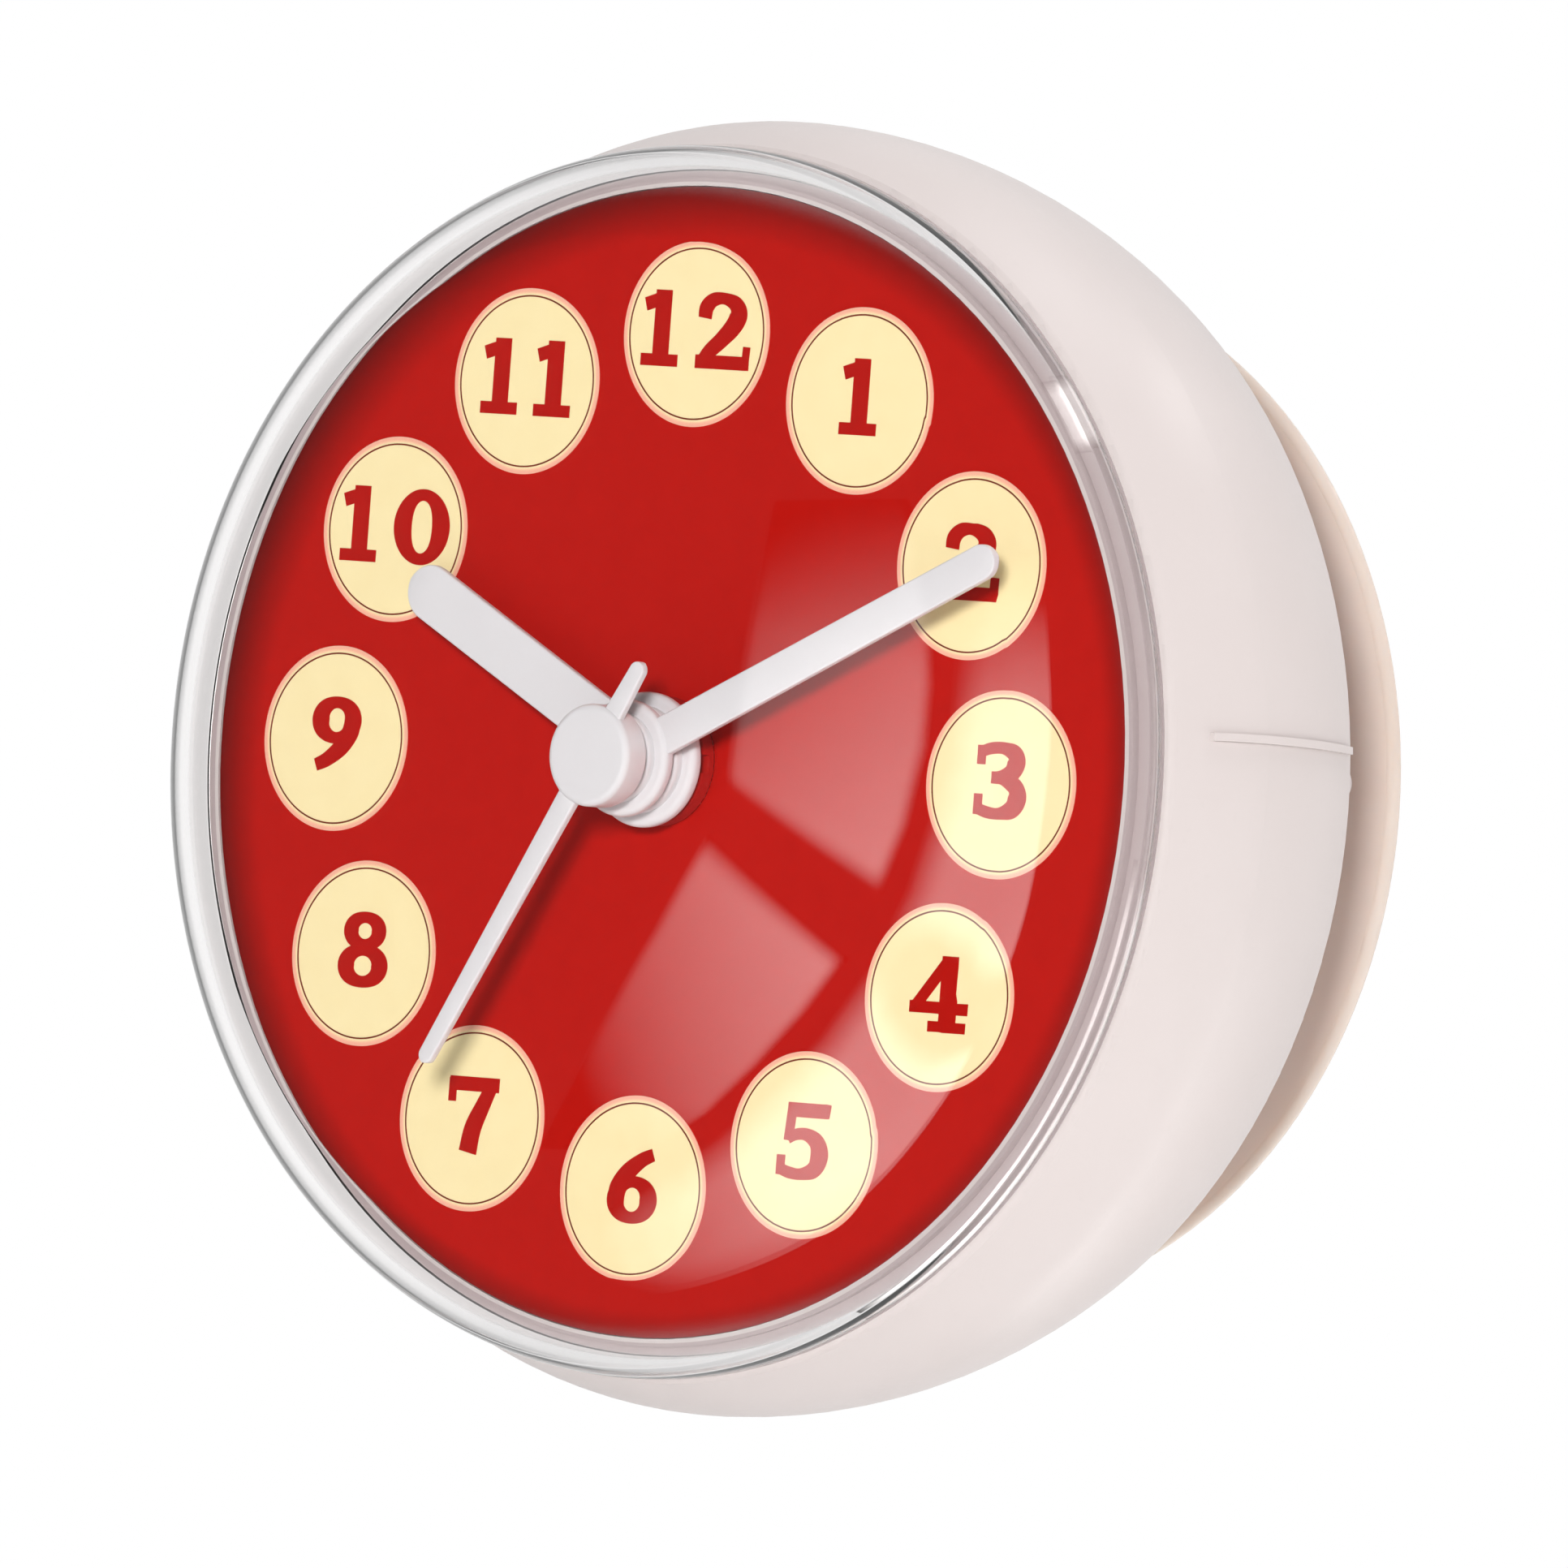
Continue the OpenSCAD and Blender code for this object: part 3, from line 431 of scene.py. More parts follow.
@dataclass(frozen=True)
class ClearPlastic(Finish):
    """Polished clear plastic that bends light, and lets lamps and soft light straight through."""

    name: str
    tint: Colour = (0.985, 0.972, 0.968)
    index: float = 1.49
    polish: float = 0.006
    wipe_mm: float = 3.0
    wipe_stretch: Factors = (1.0, 1.0, 0.15)
    wipe_band: Band = (0.55, 0.8)
    wipe_dull: float = 0.02

    def paint(self, graph: Graph) -> Value:
        """Glass with faint wipe marks in its polish, mixed with a clear pass for light on its way in.

        Args:
            graph: The material's node tree.

        Returns:
            The shader.
        """
        marks = graph.noise(self.wipe_mm, detail=3.0, stretch=self.wipe_stretch)
        glass = graph.shader({
            "Base Color": (*self.tint, 1.0),
            "Roughness": self.polish + graph.ease(marks, *self.wipe_band) * self.wipe_dull,
            "IOR": self.index,
            "Transmission Weight": 1.0,
        })
        clear = graph.value("ShaderNodeBsdfTransparent", 0, None, {"Color": (1.0, 1.0, 1.0, 1.0)})
        ray = graph.add("ShaderNodeLightPath")
        light = Value(graph, ray.outputs["Is Shadow Ray"]) + Value(graph, ray.outputs["Is Diffuse Ray"])
        return graph.value("ShaderNodeMixShader", 0, None, {0: light.least(1.0), 1: glass, 2: clear})


@dataclass(frozen=True)
class LitTable(TwoTone):
    """Pale acrylic table: the camera sees a glow that whitens far out; only its back lights the clock."""

    glow: float = 1.0
    glow_tint: Colour = (1.0, 0.99, 0.98)
    glow_band_m: Band = (-0.045, 0.020)
    seen: float = 0.42
    seen_band_m: Band = (0.25, 0.90)
    gloss: float = 0.75
    sheen: float = 0.2
    cloud_mm: float = 60.0
    grain_mm: float = 2.0
    grain_sway: float = 0.1

    def paint(self, graph: Graph) -> Value:
        """Two close tones by a slow cloud, a dull skin, and the two glows, told apart by the kind of ray.

        Args:
            graph: The material's node tree.

        Returns:
            The shader.
        """
        camera = graph.value("ShaderNodeLightPath", "Is Camera Ray")
        x, y, _ = graph.axes(graph.place())
        shown = graph.ease(graph.reach(x, y), *self.seen_band_m) * (1.0 - self.seen) + self.seen
        lit = camera * shown + (1.0 - camera) * graph.ease(y, *self.glow_band_m)
        return graph.shader({
            "Base Color": self.tones(graph, graph.noise(self.cloud_mm)),
            "Roughness": self.gloss + graph.noise(self.grain_mm, detail=3.0).sway(self.grain_sway),
            "Specular IOR Level": self.sheen,
            "Emission Color": graph.blend(lit, BLACK_OUT, self.glow_tint),
            "Emission Strength": self.glow,
        })


@dataclass(frozen=True)
class SoftVinyl(TwoTone):
    """Soft cast vinyl or silicone: milky depth, flow clouds and a faintly waxy skin."""

    depth_mm: float = 4.0
    milk: float = 0.5
    scatter: Factors = (1.0, 0.75, 0.6)
    gloss: float = 0.35
    flow_mm: float = 11.0
    flow_stretch: Factors = (1.0, 0.5, 1.0)
    flow_sway: float = 0.1
    skin_mm: float = 0.5
    skin_sway: float = 0.14
    relief_mm: float = 0.006

    def paint(self, graph: Graph) -> Value:
        """Milky scatter under a skin whose tint and gloss follow slow flow clouds.

        Args:
            graph: The material's node tree.

        Returns:
            The shader.
        """
        flow = graph.noise(self.flow_mm, detail=3.0, stretch=self.flow_stretch)
        skin = graph.noise(self.skin_mm, detail=3.0)
        return graph.shader({
            "Base Color": self.tones(graph, flow),
            "Roughness": self.gloss + skin.sway(self.skin_sway) + flow.sway(self.flow_sway),
            "IOR": PLASTIC_IOR,
            "Subsurface Weight": self.milk,
            "Subsurface Radius": self.scatter,
            "Subsurface Scale": self.depth_mm * MM,
            "Normal": graph.relief(skin, self.relief_mm),
        })


@dataclass(frozen=True)
class Metal(TwoTone):
    """Drawn or turned metal: fine lines along one way, with duller patches."""

    gloss: float = 0.3
    lines: Factors = (1.0, 12.0, 1.0)
    line_mm: float = 1.5
    line_sway: float = 0.2
    patch_mm: float = 3.0
    patch_band: Band = (0.35, 0.75)
    patch_sway: float = 0.15
    relief_mm: float = 0.004

    def paint(self, graph: Graph) -> Value:
        """Lines come from noise drawn out along the small factors of the stretch.

        Args:
            graph: The material's node tree.

        Returns:
            The shader.
        """
        lines = graph.noise(self.line_mm, stretch=self.lines)
        patch = graph.noise(self.patch_mm, detail=3.0)
        return graph.shader({
            "Base Color": self.tones(graph, patch, self.patch_band),
            "Metallic": 1.0,
            "Roughness": self.gloss + lines.sway(self.line_sway) + patch.sway(self.patch_sway),
            "Normal": graph.relief(lines, self.relief_mm),
        })


@dataclass(frozen=True)
class WoundWire(Finish):
    """Enamelled copper wire wound in close turns along the coil's axis."""

    name: str
    colour: Colour = (0.52, 0.20, 0.075)
    # shade is the tone of the painted shade in the grooves between turns.
    shade: Colour = (0.30, 0.10, 0.04)
    pitch_mm: float = 0.16
    metal: float = 0.85
    gloss: float = 0.28
    layer_mm: float = 1.2
    layer_share: float = 0.3
    layer_sway: float = 0.1
    tone_band: Band = (0.25, 0.75)
    relief_mm: float = 0.05

    def paint(self, graph: Graph) -> Value:
        """Turns are a sine of the place along the axis; the colour darkens between them as painted shade.

        Args:
            graph: The material's node tree.

        Returns:
            The shader.
        """
        along = graph.axes(graph.place())[0]
        turns = (along * (2.0 * math.pi / (self.pitch_mm * MM))).sine() * 0.5 + 0.5
        layer = graph.noise(self.layer_mm)
        height = turns * (1.0 - self.layer_share) + layer * self.layer_share
        return graph.shader({
            # Painted shade in the grooves between turns, mixed with random tone from the layer noise.
            "Base Color": graph.blend(graph.ease(height, *self.tone_band), self.shade, self.colour),
            "Metallic": self.metal,
            "Roughness": self.gloss + layer.sway(self.layer_sway),
            "Normal": graph.relief(turns, self.relief_mm),
        })


@dataclass(frozen=True)
class Laminate(Finish):
    """Circuit laminate: green resist over copper tracks, with a glass weave below."""

    name: str
    resist: Colour = (0.012, 0.10, 0.035)
    track: Colour = (0.03, 0.21, 0.08)
    pitch_mm: float = 2.4
    waver_mm: float = 2.0
    waver_size_mm: float = 9.0
    track_band: Band = (0.2, 0.45)
    gap_mm: float = 4.0
    gap_band: Band = (0.42, 0.5)
    weave_mm: float = 0.4
    weave_stretch: Factors = (1.0, 1.0, 3.0)
    weave_sway: float = 0.15
    weave_relief: float = 0.2
    gloss: float = 0.32
    coat: float = 0.3
    relief_mm: float = 0.03

    def paint(self, graph: Graph) -> Value:
        """Tracks are stripes along one axis that a slow noise bends and another breaks up.

        Args:
            graph: The material's node tree.

        Returns:
            The shader.
        """
        x = graph.axes(graph.place())[0]
        weave = graph.noise(self.weave_mm, detail=1.0, stretch=self.weave_stretch)
        bent = x + graph.noise(self.waver_size_mm, detail=1.0) * (self.waver_mm * MM)
        stripes = (bent * (2.0 * math.pi / (self.pitch_mm * MM))).sine()
        gaps = graph.ease(graph.noise(self.gap_mm, detail=0.0), *self.gap_band)
        tracks = graph.ease(stripes, *self.track_band) * gaps
        return graph.shader({
            "Base Color": graph.blend(tracks, self.resist, self.track),
            "Roughness": self.gloss + weave.sway(self.weave_sway),
            "Coat Weight": tracks * self.coat,
            "Normal": graph.relief(tracks + weave * self.weave_relief, self.relief_mm),
        })


@dataclass(frozen=True)
class CellSleeve(Finish):
    """Plain shrink sleeve of a round cell in two tones, with bare metal at both ends."""

    name: str
    colour: Colour = (0.55, 0.34, 0.06)
    dark: Colour = (0.02, 0.02, 0.022)
    metal: Colour = (0.62, 0.62, 0.60)
    band_x_mm: float = 9.0
    sleeve_mm: float = 24.0
    soft_mm: float = 0.1
    sleeve_metal: float = 0.3
    gloss: float = 0.24
    scuff_mm: float = 2.2
    scuff_stretch: Factors = (0.3, 1.0, 1.0)
    scuff_sway: float = 0.25
    scuff_middle: float = 0.4
    relief_mm: float = 0.01

    def paint(self, graph: Graph) -> Value:
        """Tone and metal follow the place along the cell; scuffs break the gloss.

        Args:
            graph: The material's node tree.

        Returns:
            The shader.
        """
        x = graph.axes(graph.place())[0]
        scuff = graph.noise(self.scuff_mm, detail=3.0, stretch=self.scuff_stretch)
        tone = graph.border(x, self.band_x_mm, self.soft_mm)
        bare = graph.border((x * x).root(), self.sleeve_mm, self.soft_mm)
        return graph.shader({
            "Base Color": graph.blend(bare, graph.blend(tone, self.dark, self.colour), self.metal),
            "Metallic": bare * (1.0 - self.sleeve_metal) + self.sleeve_metal,
            "Roughness": self.gloss + scuff.sway(self.scuff_sway, self.scuff_middle),
            "Normal": graph.relief(scuff, self.relief_mm),
        })


CASE = RimmedCase("case_white", (0.598, 0.535, 0.522), (0.586, 0.522, 0.508), gloss=0.36)
COVER = Moulded("cover_white", (0.690, 0.620, 0.605), (0.665, 0.595, 0.580), gloss=0.42, grain_mm=0.5)
HAND = Moulded("hand_white", (0.705, 0.690, 0.705), (0.690, 0.674, 0.690), gloss=0.34, relief_mm=0.002)
BLACK = Moulded("movement_black", (0.012, 0.012, 0.013), (0.018, 0.018, 0.019), gloss=0.45, dust=0.2)
SPOOL = Moulded("spool_black", (0.02, 0.02, 0.02), (0.03, 0.03, 0.03), gloss=0.5)
NYLON = Moulded("wheel_nylon", (0.72, 0.69, 0.60), (0.66, 0.62, 0.52), gloss=0.32, grain_mm=0.2)
KNOB = Moulded("knob_grey", (0.07, 0.07, 0.072), (0.09, 0.09, 0.092), gloss=0.4)
RESIN = Moulded("chip_black", (0.006, 0.006, 0.006), (0.011, 0.010, 0.010), gloss=0.2, relief_mm=0.01)
LENS = ClearPlastic("lens_clear")
CUP = SoftVinyl("cup_pvc", (0.530, 0.468, 0.430), (0.510, 0.446, 0.406))
SEAL = SoftVinyl("seal_silicone", (0.62, 0.55, 0.54), (0.57, 0.50, 0.49), depth_mm=1.0, milk=0.3, gloss=0.45)
# The dial's red, with painted rim shadow near its edge.
DIAL_RED = ShadedPrint("dial_red", (0.448, 0.0065, 0.0036), (0.434, 0.0060, 0.0033))
NUMERAL_RED = Printed("numeral_red", (0.430, 0.0070, 0.0042), (0.407, 0.0064, 0.0038), gloss=0.45)
CREAM = Printed("badge_cream", (0.900, 0.765, 0.435), (0.885, 0.745, 0.415), rim_colour=(0.86, 0.43, 0.31))
BADGE_LINE = Printed("badge_line", (0.20, 0.035, 0.020), (0.17, 0.030, 0.017))
NUT = Moulded("nut_lacquer", (0.440, 0.009, 0.006), (0.420, 0.008, 0.005), gloss=0.7)
BRASS = Metal("brass_turned", (0.66, 0.45, 0.16), (0.50, 0.32, 0.10), gloss=0.28)
STEEL = Metal("steel_bright", (0.58, 0.58, 0.57), (0.44, 0.44, 0.43), gloss=0.26, lines=(8.0, 1.0, 1.0))
CAN = Metal("crystal_can", (0.66, 0.66, 0.65), (0.54, 0.54, 0.53), gloss=0.2, lines=(6.0, 6.0, 1.0))
IRON = Metal("stator_iron", (0.36, 0.36, 0.37), (0.26, 0.26, 0.27), gloss=0.42, lines=(1.0, 1.0, 10.0))
MAGNET = Metal("magnet_grey", (0.12, 0.12, 0.125), (0.08, 0.08, 0.085), gloss=0.55, lines=(3.0, 3.0, 3.0))
WIRE = WoundWire("coil_copper")
BOARD = Laminate("board_green")
CELL = CellSleeve("cell_sleeve")
TABLE = LitTable("floor_pale", (0.90, 0.90, 0.895), (0.89, 0.89, 0.885))


@dataclass
class Surface:
    """Points in millimetres with their faces, ready to become a mesh."""

    points: np.ndarray
    faces: list[np.ndarray]

    def outward(self) -> "Surface":
        """Turn the faces round where the enclosed volume comes out negative.

        The volume is the sum over all triangles of the first corner times the cross product of the others.

        Returns:
            A surface whose faces point out of the closed shape.
        """
        corners = [(f[:, 0], f[:, k], f[:, k + 1]) for f in self.faces for k in range(1, f.shape[1] - 1)]
        volume = sum(np.einsum("ij,ij->", self.points[a], np.cross(self.points[b], self.points[c]))
                     for a, b, c in corners)
        return self if volume >= 0 else Surface(self.points, [f[:, ::-1] for f in self.faces])

    def build(self, name: str, crease_deg: float = 35.0) -> bpy.types.Object:
        """Make the object of this surface.

        Args:
            name: The piece's name.
            crease_deg: Edges sharper than this stay crisp.

        Returns:
            An object at the origin, linked to the scene.
        """
        mesh = bpy.data.meshes.new(name)
        faces = [face for block in self.faces for face in block.tolist()]
        mesh.from_pydata((self.points * MM).tolist(), [], faces)
        mesh.polygons.foreach_set("use_smooth", np.ones(len(faces), bool))
        mesh.set_sharp_from_angle(angle=math.radians(crease_deg))
        mesh.update()
        piece = bpy.data.objects.new(name, mesh)
        bpy.context.scene.collection.objects.link(piece)
        return piece


def store(piece: bpy.types.Object, name: str, numbers: np.ndarray) -> None:
    """Store one number for each of a piece's points."""
    layer = piece.data.attributes.new(name, "FLOAT", "POINT")
    layer.data.foreach_set("value", numbers.astype(np.float32))


def join(parts: list[Surface]) -> Surface:
    """Put several surfaces into one, with their point numbers moved on.

    Args:
        parts: The surfaces, in order.

    Returns:
        One surface with all their points and faces.
    """
    starts = np.cumsum([0] + [len(p.points) for p in parts])
    faces = [f + start for p, start in zip(parts, starts) for f in p.faces]
    return Surface(np.vstack([p.points for p in parts]), faces)


def grid_faces(rows: int, columns: int, wrap_rows: bool, wrap_columns: bool) -> np.ndarray:
    """Four-sided faces of a grid of points in row order.

    Args:
        rows: Number of rows.
        columns: Number of columns.
        wrap_rows: The last row joins the first.
        wrap_columns: The last column joins the first.

    Returns:
        One row of four point numbers for each face.
    """
    i = np.arange(rows if wrap_rows else rows - 1)[:, None]
    j = np.arange(columns if wrap_columns else columns - 1)[None, :]
    i2, j2 = (i + 1) % rows, (j + 1) % columns
    corners = np.broadcast_arrays(i * columns + j, i * columns + j2, i2 * columns + j2, i2 * columns + j)
    return np.stack(corners, -1).reshape(-1, 4)


def lathe(profile: np.ndarray, segments: int, on_axis: float = 1e-9) -> Surface:
    """Turn a profile about the dial's axis.

    A profile point (r, h) becomes (r cos a, -h, r sin a) for the angles a of a full turn. Where the
    profile starts and ends on the axis, fans close the two poles; otherwise it is a closed loop.

    Args:
        profile: Radius and height in millimetres, one row for each point.
        segments: Steps in the turn.
        on_axis: A radius below this lies on the axis.

    Returns:
        The closed surface.
    """
    angle = np.linspace(0.0, 2.0 * np.pi, segments, endpoint=False)
    poles = profile[0, 0] < on_axis and profile[-1, 0] < on_axis
    ring = profile[1:-1] if poles else profile
    radius, height = ring[:, :1], ring[:, 1:]
    turned = [radius * np.cos(angle), -height + 0.0 * angle, radius * np.sin(angle)]
    points = np.stack(turned, -1).reshape(-1, 3)
    rows = len(ring)
    faces = [grid_faces(rows, segments, not poles, True)]
    if poles:
        ends = np.array([[0.0, -profile[0, 1], 0.0], [0.0, -profile[-1, 1], 0.0]])
        near, step = np.arange(segments), (np.arange(segments) + 1) % segments
        first, last = rows * segments, rows * segments + 1
        far = (rows - 1) * segments
        faces.append(np.stack([np.full(segments, first), step, near], -1))
        faces.append(np.stack([np.full(segments, last), far + near, far + step], -1))
        points = np.vstack([points, ends])
    return Surface(points, faces).outward()


def sweep(path: np.ndarray, half_width: np.ndarray, section: np.ndarray, base: float,
          closed: bool = False) -> Surface:
    """Carry a section along a path in the dial's plane.

    A section point (s, m, h) lies s half widths and m millimetres from the path's point along the path's
    normal, at height base + h over the wall.

    Args:
        path: Points (x, z) of the path, in millimetres.
        half_width: Half the width at each point.
        section: Closed outline: share of the half width, millimetres added to it, and height.
        base: Height that the section's heights are counted from.
        closed: The path's end joins its start.

    Returns:
        The closed surface.
    """
    if closed:
        ahead, behind = np.roll(path, -1, 0), np.roll(path, 1, 0)
    else:
        ahead = np.vstack([path[1:], path[-1:]])
        behind = np.vstack([path[:1], path[:-1]])
    along = ahead - behind
    along = along / np.linalg.norm(along, axis=1, keepdims=True)
    normal = np.stack([-along[:, 1], along[:, 0]], -1)
    side = section[None, :, 0] * half_width[:, None] + section[None, :, 1]
    spot = path[:, None, :] + side[:, :, None] * normal[:, None, :]
    height = np.broadcast_to(base + section[None, :, 2], side.shape)
    points = np.stack([spot[..., 0], -height, spot[..., 1]], -1).reshape(-1, 3)
    rows, columns = side.shape
    faces = [grid_faces(rows, columns, closed, True)]
    if not closed:
        faces += [np.arange(columns)[None, ::-1], (rows - 1) * columns + np.arange(columns)[None, :]]
    return Surface(points, faces).outward()


def flat_section(low: float, high: float) -> np.ndarray:
    """Plain four-cornered section between two heights, as wide as the path says."""
    return np.array([[-1.0, 0.0, low], [1.0, 0.0, low], [1.0, 0.0, high], [-1.0, 0.0, high]])


def rounded_section(thick: float, fillet: float, steps: int = 5) -> np.ndarray:
    """Four-cornered section with round corners, centred in height.

    Each corner is a quarter circle: its middle lies a fillet inside the corner, so a point is
    (corner side) (share 1, millimetres fillet (cos a - 1)) with height thick/2 - fillet + fillet sin a.

    Args:
        thick: Full thickness.
        fillet: Radius of the corners.
        steps: Points on each corner.

    Returns:
        Rows of share, added millimetres and height.
    """
    quarter = np.linspace(0.0, np.pi / 2, steps)
    inset, rise = fillet * (np.cos(quarter) - 1.0), thick / 2 - fillet + fillet * np.sin(quarter)
    corner = np.stack([np.ones(steps), inset, rise], -1)
    upper = np.vstack([corner, (corner * [-1.0, -1.0, 1.0])[::-1]])
    return np.vstack([upper, (upper * [1.0, 1.0, -1.0])[::-1]])


def rounded_disc(radius: float, low: float, high: float, fillet: float, keep: float = 0.12,
                 steps: int = 7) -> np.ndarray:
    """Profile of a disc with rounded edges, from its front pole to its back pole.

    Each edge is a quarter circle about a middle that lies a fillet inside the disc's corner.

    Args:
        radius: The disc's outside.
        low: Height of its back.
        high: Height of its front.
        fillet: Radius of both edges.
        keep: How far inside the fillet a further ring keeps the flat's shading flat.
        steps: Points on each edge.

    Returns:
        Radius and height, one row for each point.
    """
    quarter = np.linspace(0.0, np.pi / 2, steps)
    out, up = fillet * np.sin(quarter), fillet * np.cos(quarter)
    middle = radius - fillet
    front = np.stack([middle + out, high - fillet + up], -1)
    back = np.stack([middle + up, low + fillet - out], -1)
    flat = middle - keep
    return np.vstack([[0.0, high], [flat, high], front, back, [flat, low], [0.0, low]])


class Line(Enum):
    """Ways that a stroke runs through its points."""

    STRAIGHT = "straight"
    CURVED = "curved"
    RING = "ring"


@dataclass(frozen=True)
class Stroke:
    """One pen stroke of a numeral, in units of the numeral's height.

    A ring's points are its centre and its two half axes, and its widths those at the sides and at the top.
    """

    line: Line
    points: tuple[Spot, ...]
    widths: tuple[float, ...]

    def trace(self, samples: int = 14, ring_spans: int = 6) -> tuple[np.ndarray, np.ndarray]:
        """Points and half widths along the stroke.

        A curve is a Catmull-Rom spline: between two points it is the cubic that passes both with
        slopes of half the difference of their neighbours. A ring is an ellipse whose width goes from
        side to top with the square of the sine.

        Args:
            samples: Steps between two points of a curve.
            ring_spans: A ring has the steps of so many spans.

        Returns:
            The path and its half widths.
        """
        knots, widths = np.array(self.points), np.array(self.widths)
        if self.line is Line.STRAIGHT:
            return knots, np.broadcast_to(widths, len(knots)) / 2
        if self.line is Line.RING:
            turn = np.linspace(0.0, 2.0 * np.pi, ring_spans * samples, endpoint=False)
            wave = np.stack([np.cos(turn), np.sin(turn)], -1)
            return knots[0] + wave * knots[1], (widths[0] + (widths[1] - widths[0]) * wave[:, 1] ** 2) / 2
        both = np.column_stack([knots, widths / 2])
        wide = np.vstack([2 * both[0] - both[1], both, 2 * both[-1] - both[-2]])
        t = np.linspace(0.0, 1.0, samples, endpoint=False)[None, :, None]
        a, b, c, d = (wide[k:len(wide) - 3 + k, None, :] for k in range(4))
        slope = (c - a) * t
        bend = (2 * a - 5 * b + 4 * c - d) * t ** 2
        twist = (3 * b - a - 3 * c + d) * t ** 3
        cubic = 0.5 * (2 * b + slope + bend + twist)
        curve = np.vstack([cubic.reshape(-1, 3), both[-1:]])
        return curve[:, :2], curve[:, 2]

    def turned(self, width: float) -> "Stroke":
        """The stroke turned half round in a box with a height of 1.

        Args:
            width: The box's width.

        Returns:
            A stroke through (width - x, 1 - z); a ring keeps its half axes.
        """
        moved = tuple((width - x, 1.0 - z) for x, z in self.points)
        rest = self.points[1:] if self.line is Line.RING else moved[1:]
        return Stroke(self.line, moved[:1] + rest, self.widths)


def straight(x0: float, z0: float, x1: float, z1: float, width: float) -> Stroke:
    """A straight stroke of even width."""
    return Stroke(Line.STRAIGHT, ((x0, z0), (x1, z1)), (width,))


SIX_WIDTH = 0.86
SIX = (
    Stroke(Line.RING, ((0.43, 0.31), (0.275, 0.235)), (0.29, 0.155)),
    Stroke(Line.CURVED, ((0.74, 0.915), (0.55, 0.83), (0.33, 0.66), (0.19, 0.46), (0.157, 0.29)),
           (0.17, 0.20, 0.25, 0.28, 0.27)),
)
GLYPHS: dict[str, tuple[float, tuple[Stroke, ...]]] = {
    "0": (0.94, (Stroke(Line.RING, ((0.47, 0.5), (0.325, 0.425)), (0.30, 0.155)),)),
    "1": (0.62, (straight(0.0, 0.08, 0.62, 0.08, 0.16), straight(0.325, 0.05, 0.325, 1.0, 0.27),
                 straight(0.03, 0.80, 0.36, 0.905, 0.18))),
    "2": (0.92, (
        Stroke(Line.CURVED,
               ((0.135, 0.66), (0.155, 0.80), (0.27, 0.905), (0.45, 0.925), (0.63, 0.86),
                (0.695, 0.73), (0.62, 0.57), (0.43, 0.38), (0.24, 0.22), (0.12, 0.06)),
               (0.22, 0.23, 0.19, 0.155, 0.22, 0.29, 0.27, 0.23, 0.21, 0.20)),
        straight(0.02, 0.09, 0.92, 0.09, 0.18), straight(0.855, 0.05, 0.87, 0.31, 0.12))),
    "3": (0.84, (
        Stroke(Line.CURVED,
               ((0.10, 0.87), (0.24, 0.915), (0.44, 0.925), (0.61, 0.865), (0.655, 0.745),
                (0.58, 0.61), (0.40, 0.545), (0.27, 0.54)),
               (0.15, 0.155, 0.16, 0.22, 0.27, 0.23, 0.17, 0.155)),
        Stroke(Line.CURVED,
               ((0.27, 0.54), (0.46, 0.53), (0.645, 0.44), (0.70, 0.29), (0.62, 0.14),
                (0.42, 0.075), (0.23, 0.085), (0.07, 0.13)),
               (0.155, 0.17, 0.23, 0.29, 0.24, 0.155, 0.155, 0.15)),
        straight(0.085, 0.70, 0.085, 0.95, 0.14), straight(0.075, 0.05, 0.075, 0.32, 0.14))),
    "4": (0.98, (straight(0.62, 0.94, 0.10, 0.30, 0.17), straight(0.02, 0.315, 0.97, 0.315, 0.155),
                 straight(0.645, 0.05, 0.645, 0.99, 0.27), straight(0.34, 0.07, 0.95, 0.07, 0.14))),
    "5": (0.86, (
        straight(0.13, 0.905, 0.80, 0.905, 0.19), straight(0.21, 0.96, 0.17, 0.50, 0.155),
        straight(0.775, 0.82, 0.80, 1.0, 0.10),
        Stroke(Line.CURVED,
               ((0.17, 0.52), (0.30, 0.585), (0.47, 0.59), (0.64, 0.50), (0.705, 0.33),
                (0.63, 0.15), (0.42, 0.075), (0.22, 0.085), (0.06, 0.13)),
               (0.13, 0.15, 0.17, 0.24, 0.29, 0.24, 0.155, 0.155, 0.15)),
        straight(0.07, 0.05, 0.07, 0.31, 0.14))),
    "6": (SIX_WIDTH, SIX),
    "7": (0.86, (straight(0.02, 0.90, 0.86, 0.90, 0.19), straight(0.075, 0.97, 0.075, 0.66, 0.13),
                 Stroke(Line.CURVED, ((0.74, 0.90), (0.60, 0.62), (0.46, 0.32), (0.40, 0.0)),
                        (0.20, 0.24, 0.28, 0.30)))),
    "8": (0.84, (Stroke(Line.RING, ((0.42, 0.745), (0.235, 0.18)), (0.25, 0.15)),
                 Stroke(Line.RING, ((0.42, 0.285), (0.285, 0.21)), (0.28, 0.155)))),
    "9": (SIX_WIDTH, tuple(stroke.turned(SIX_WIDTH) for stroke in SIX)),
}


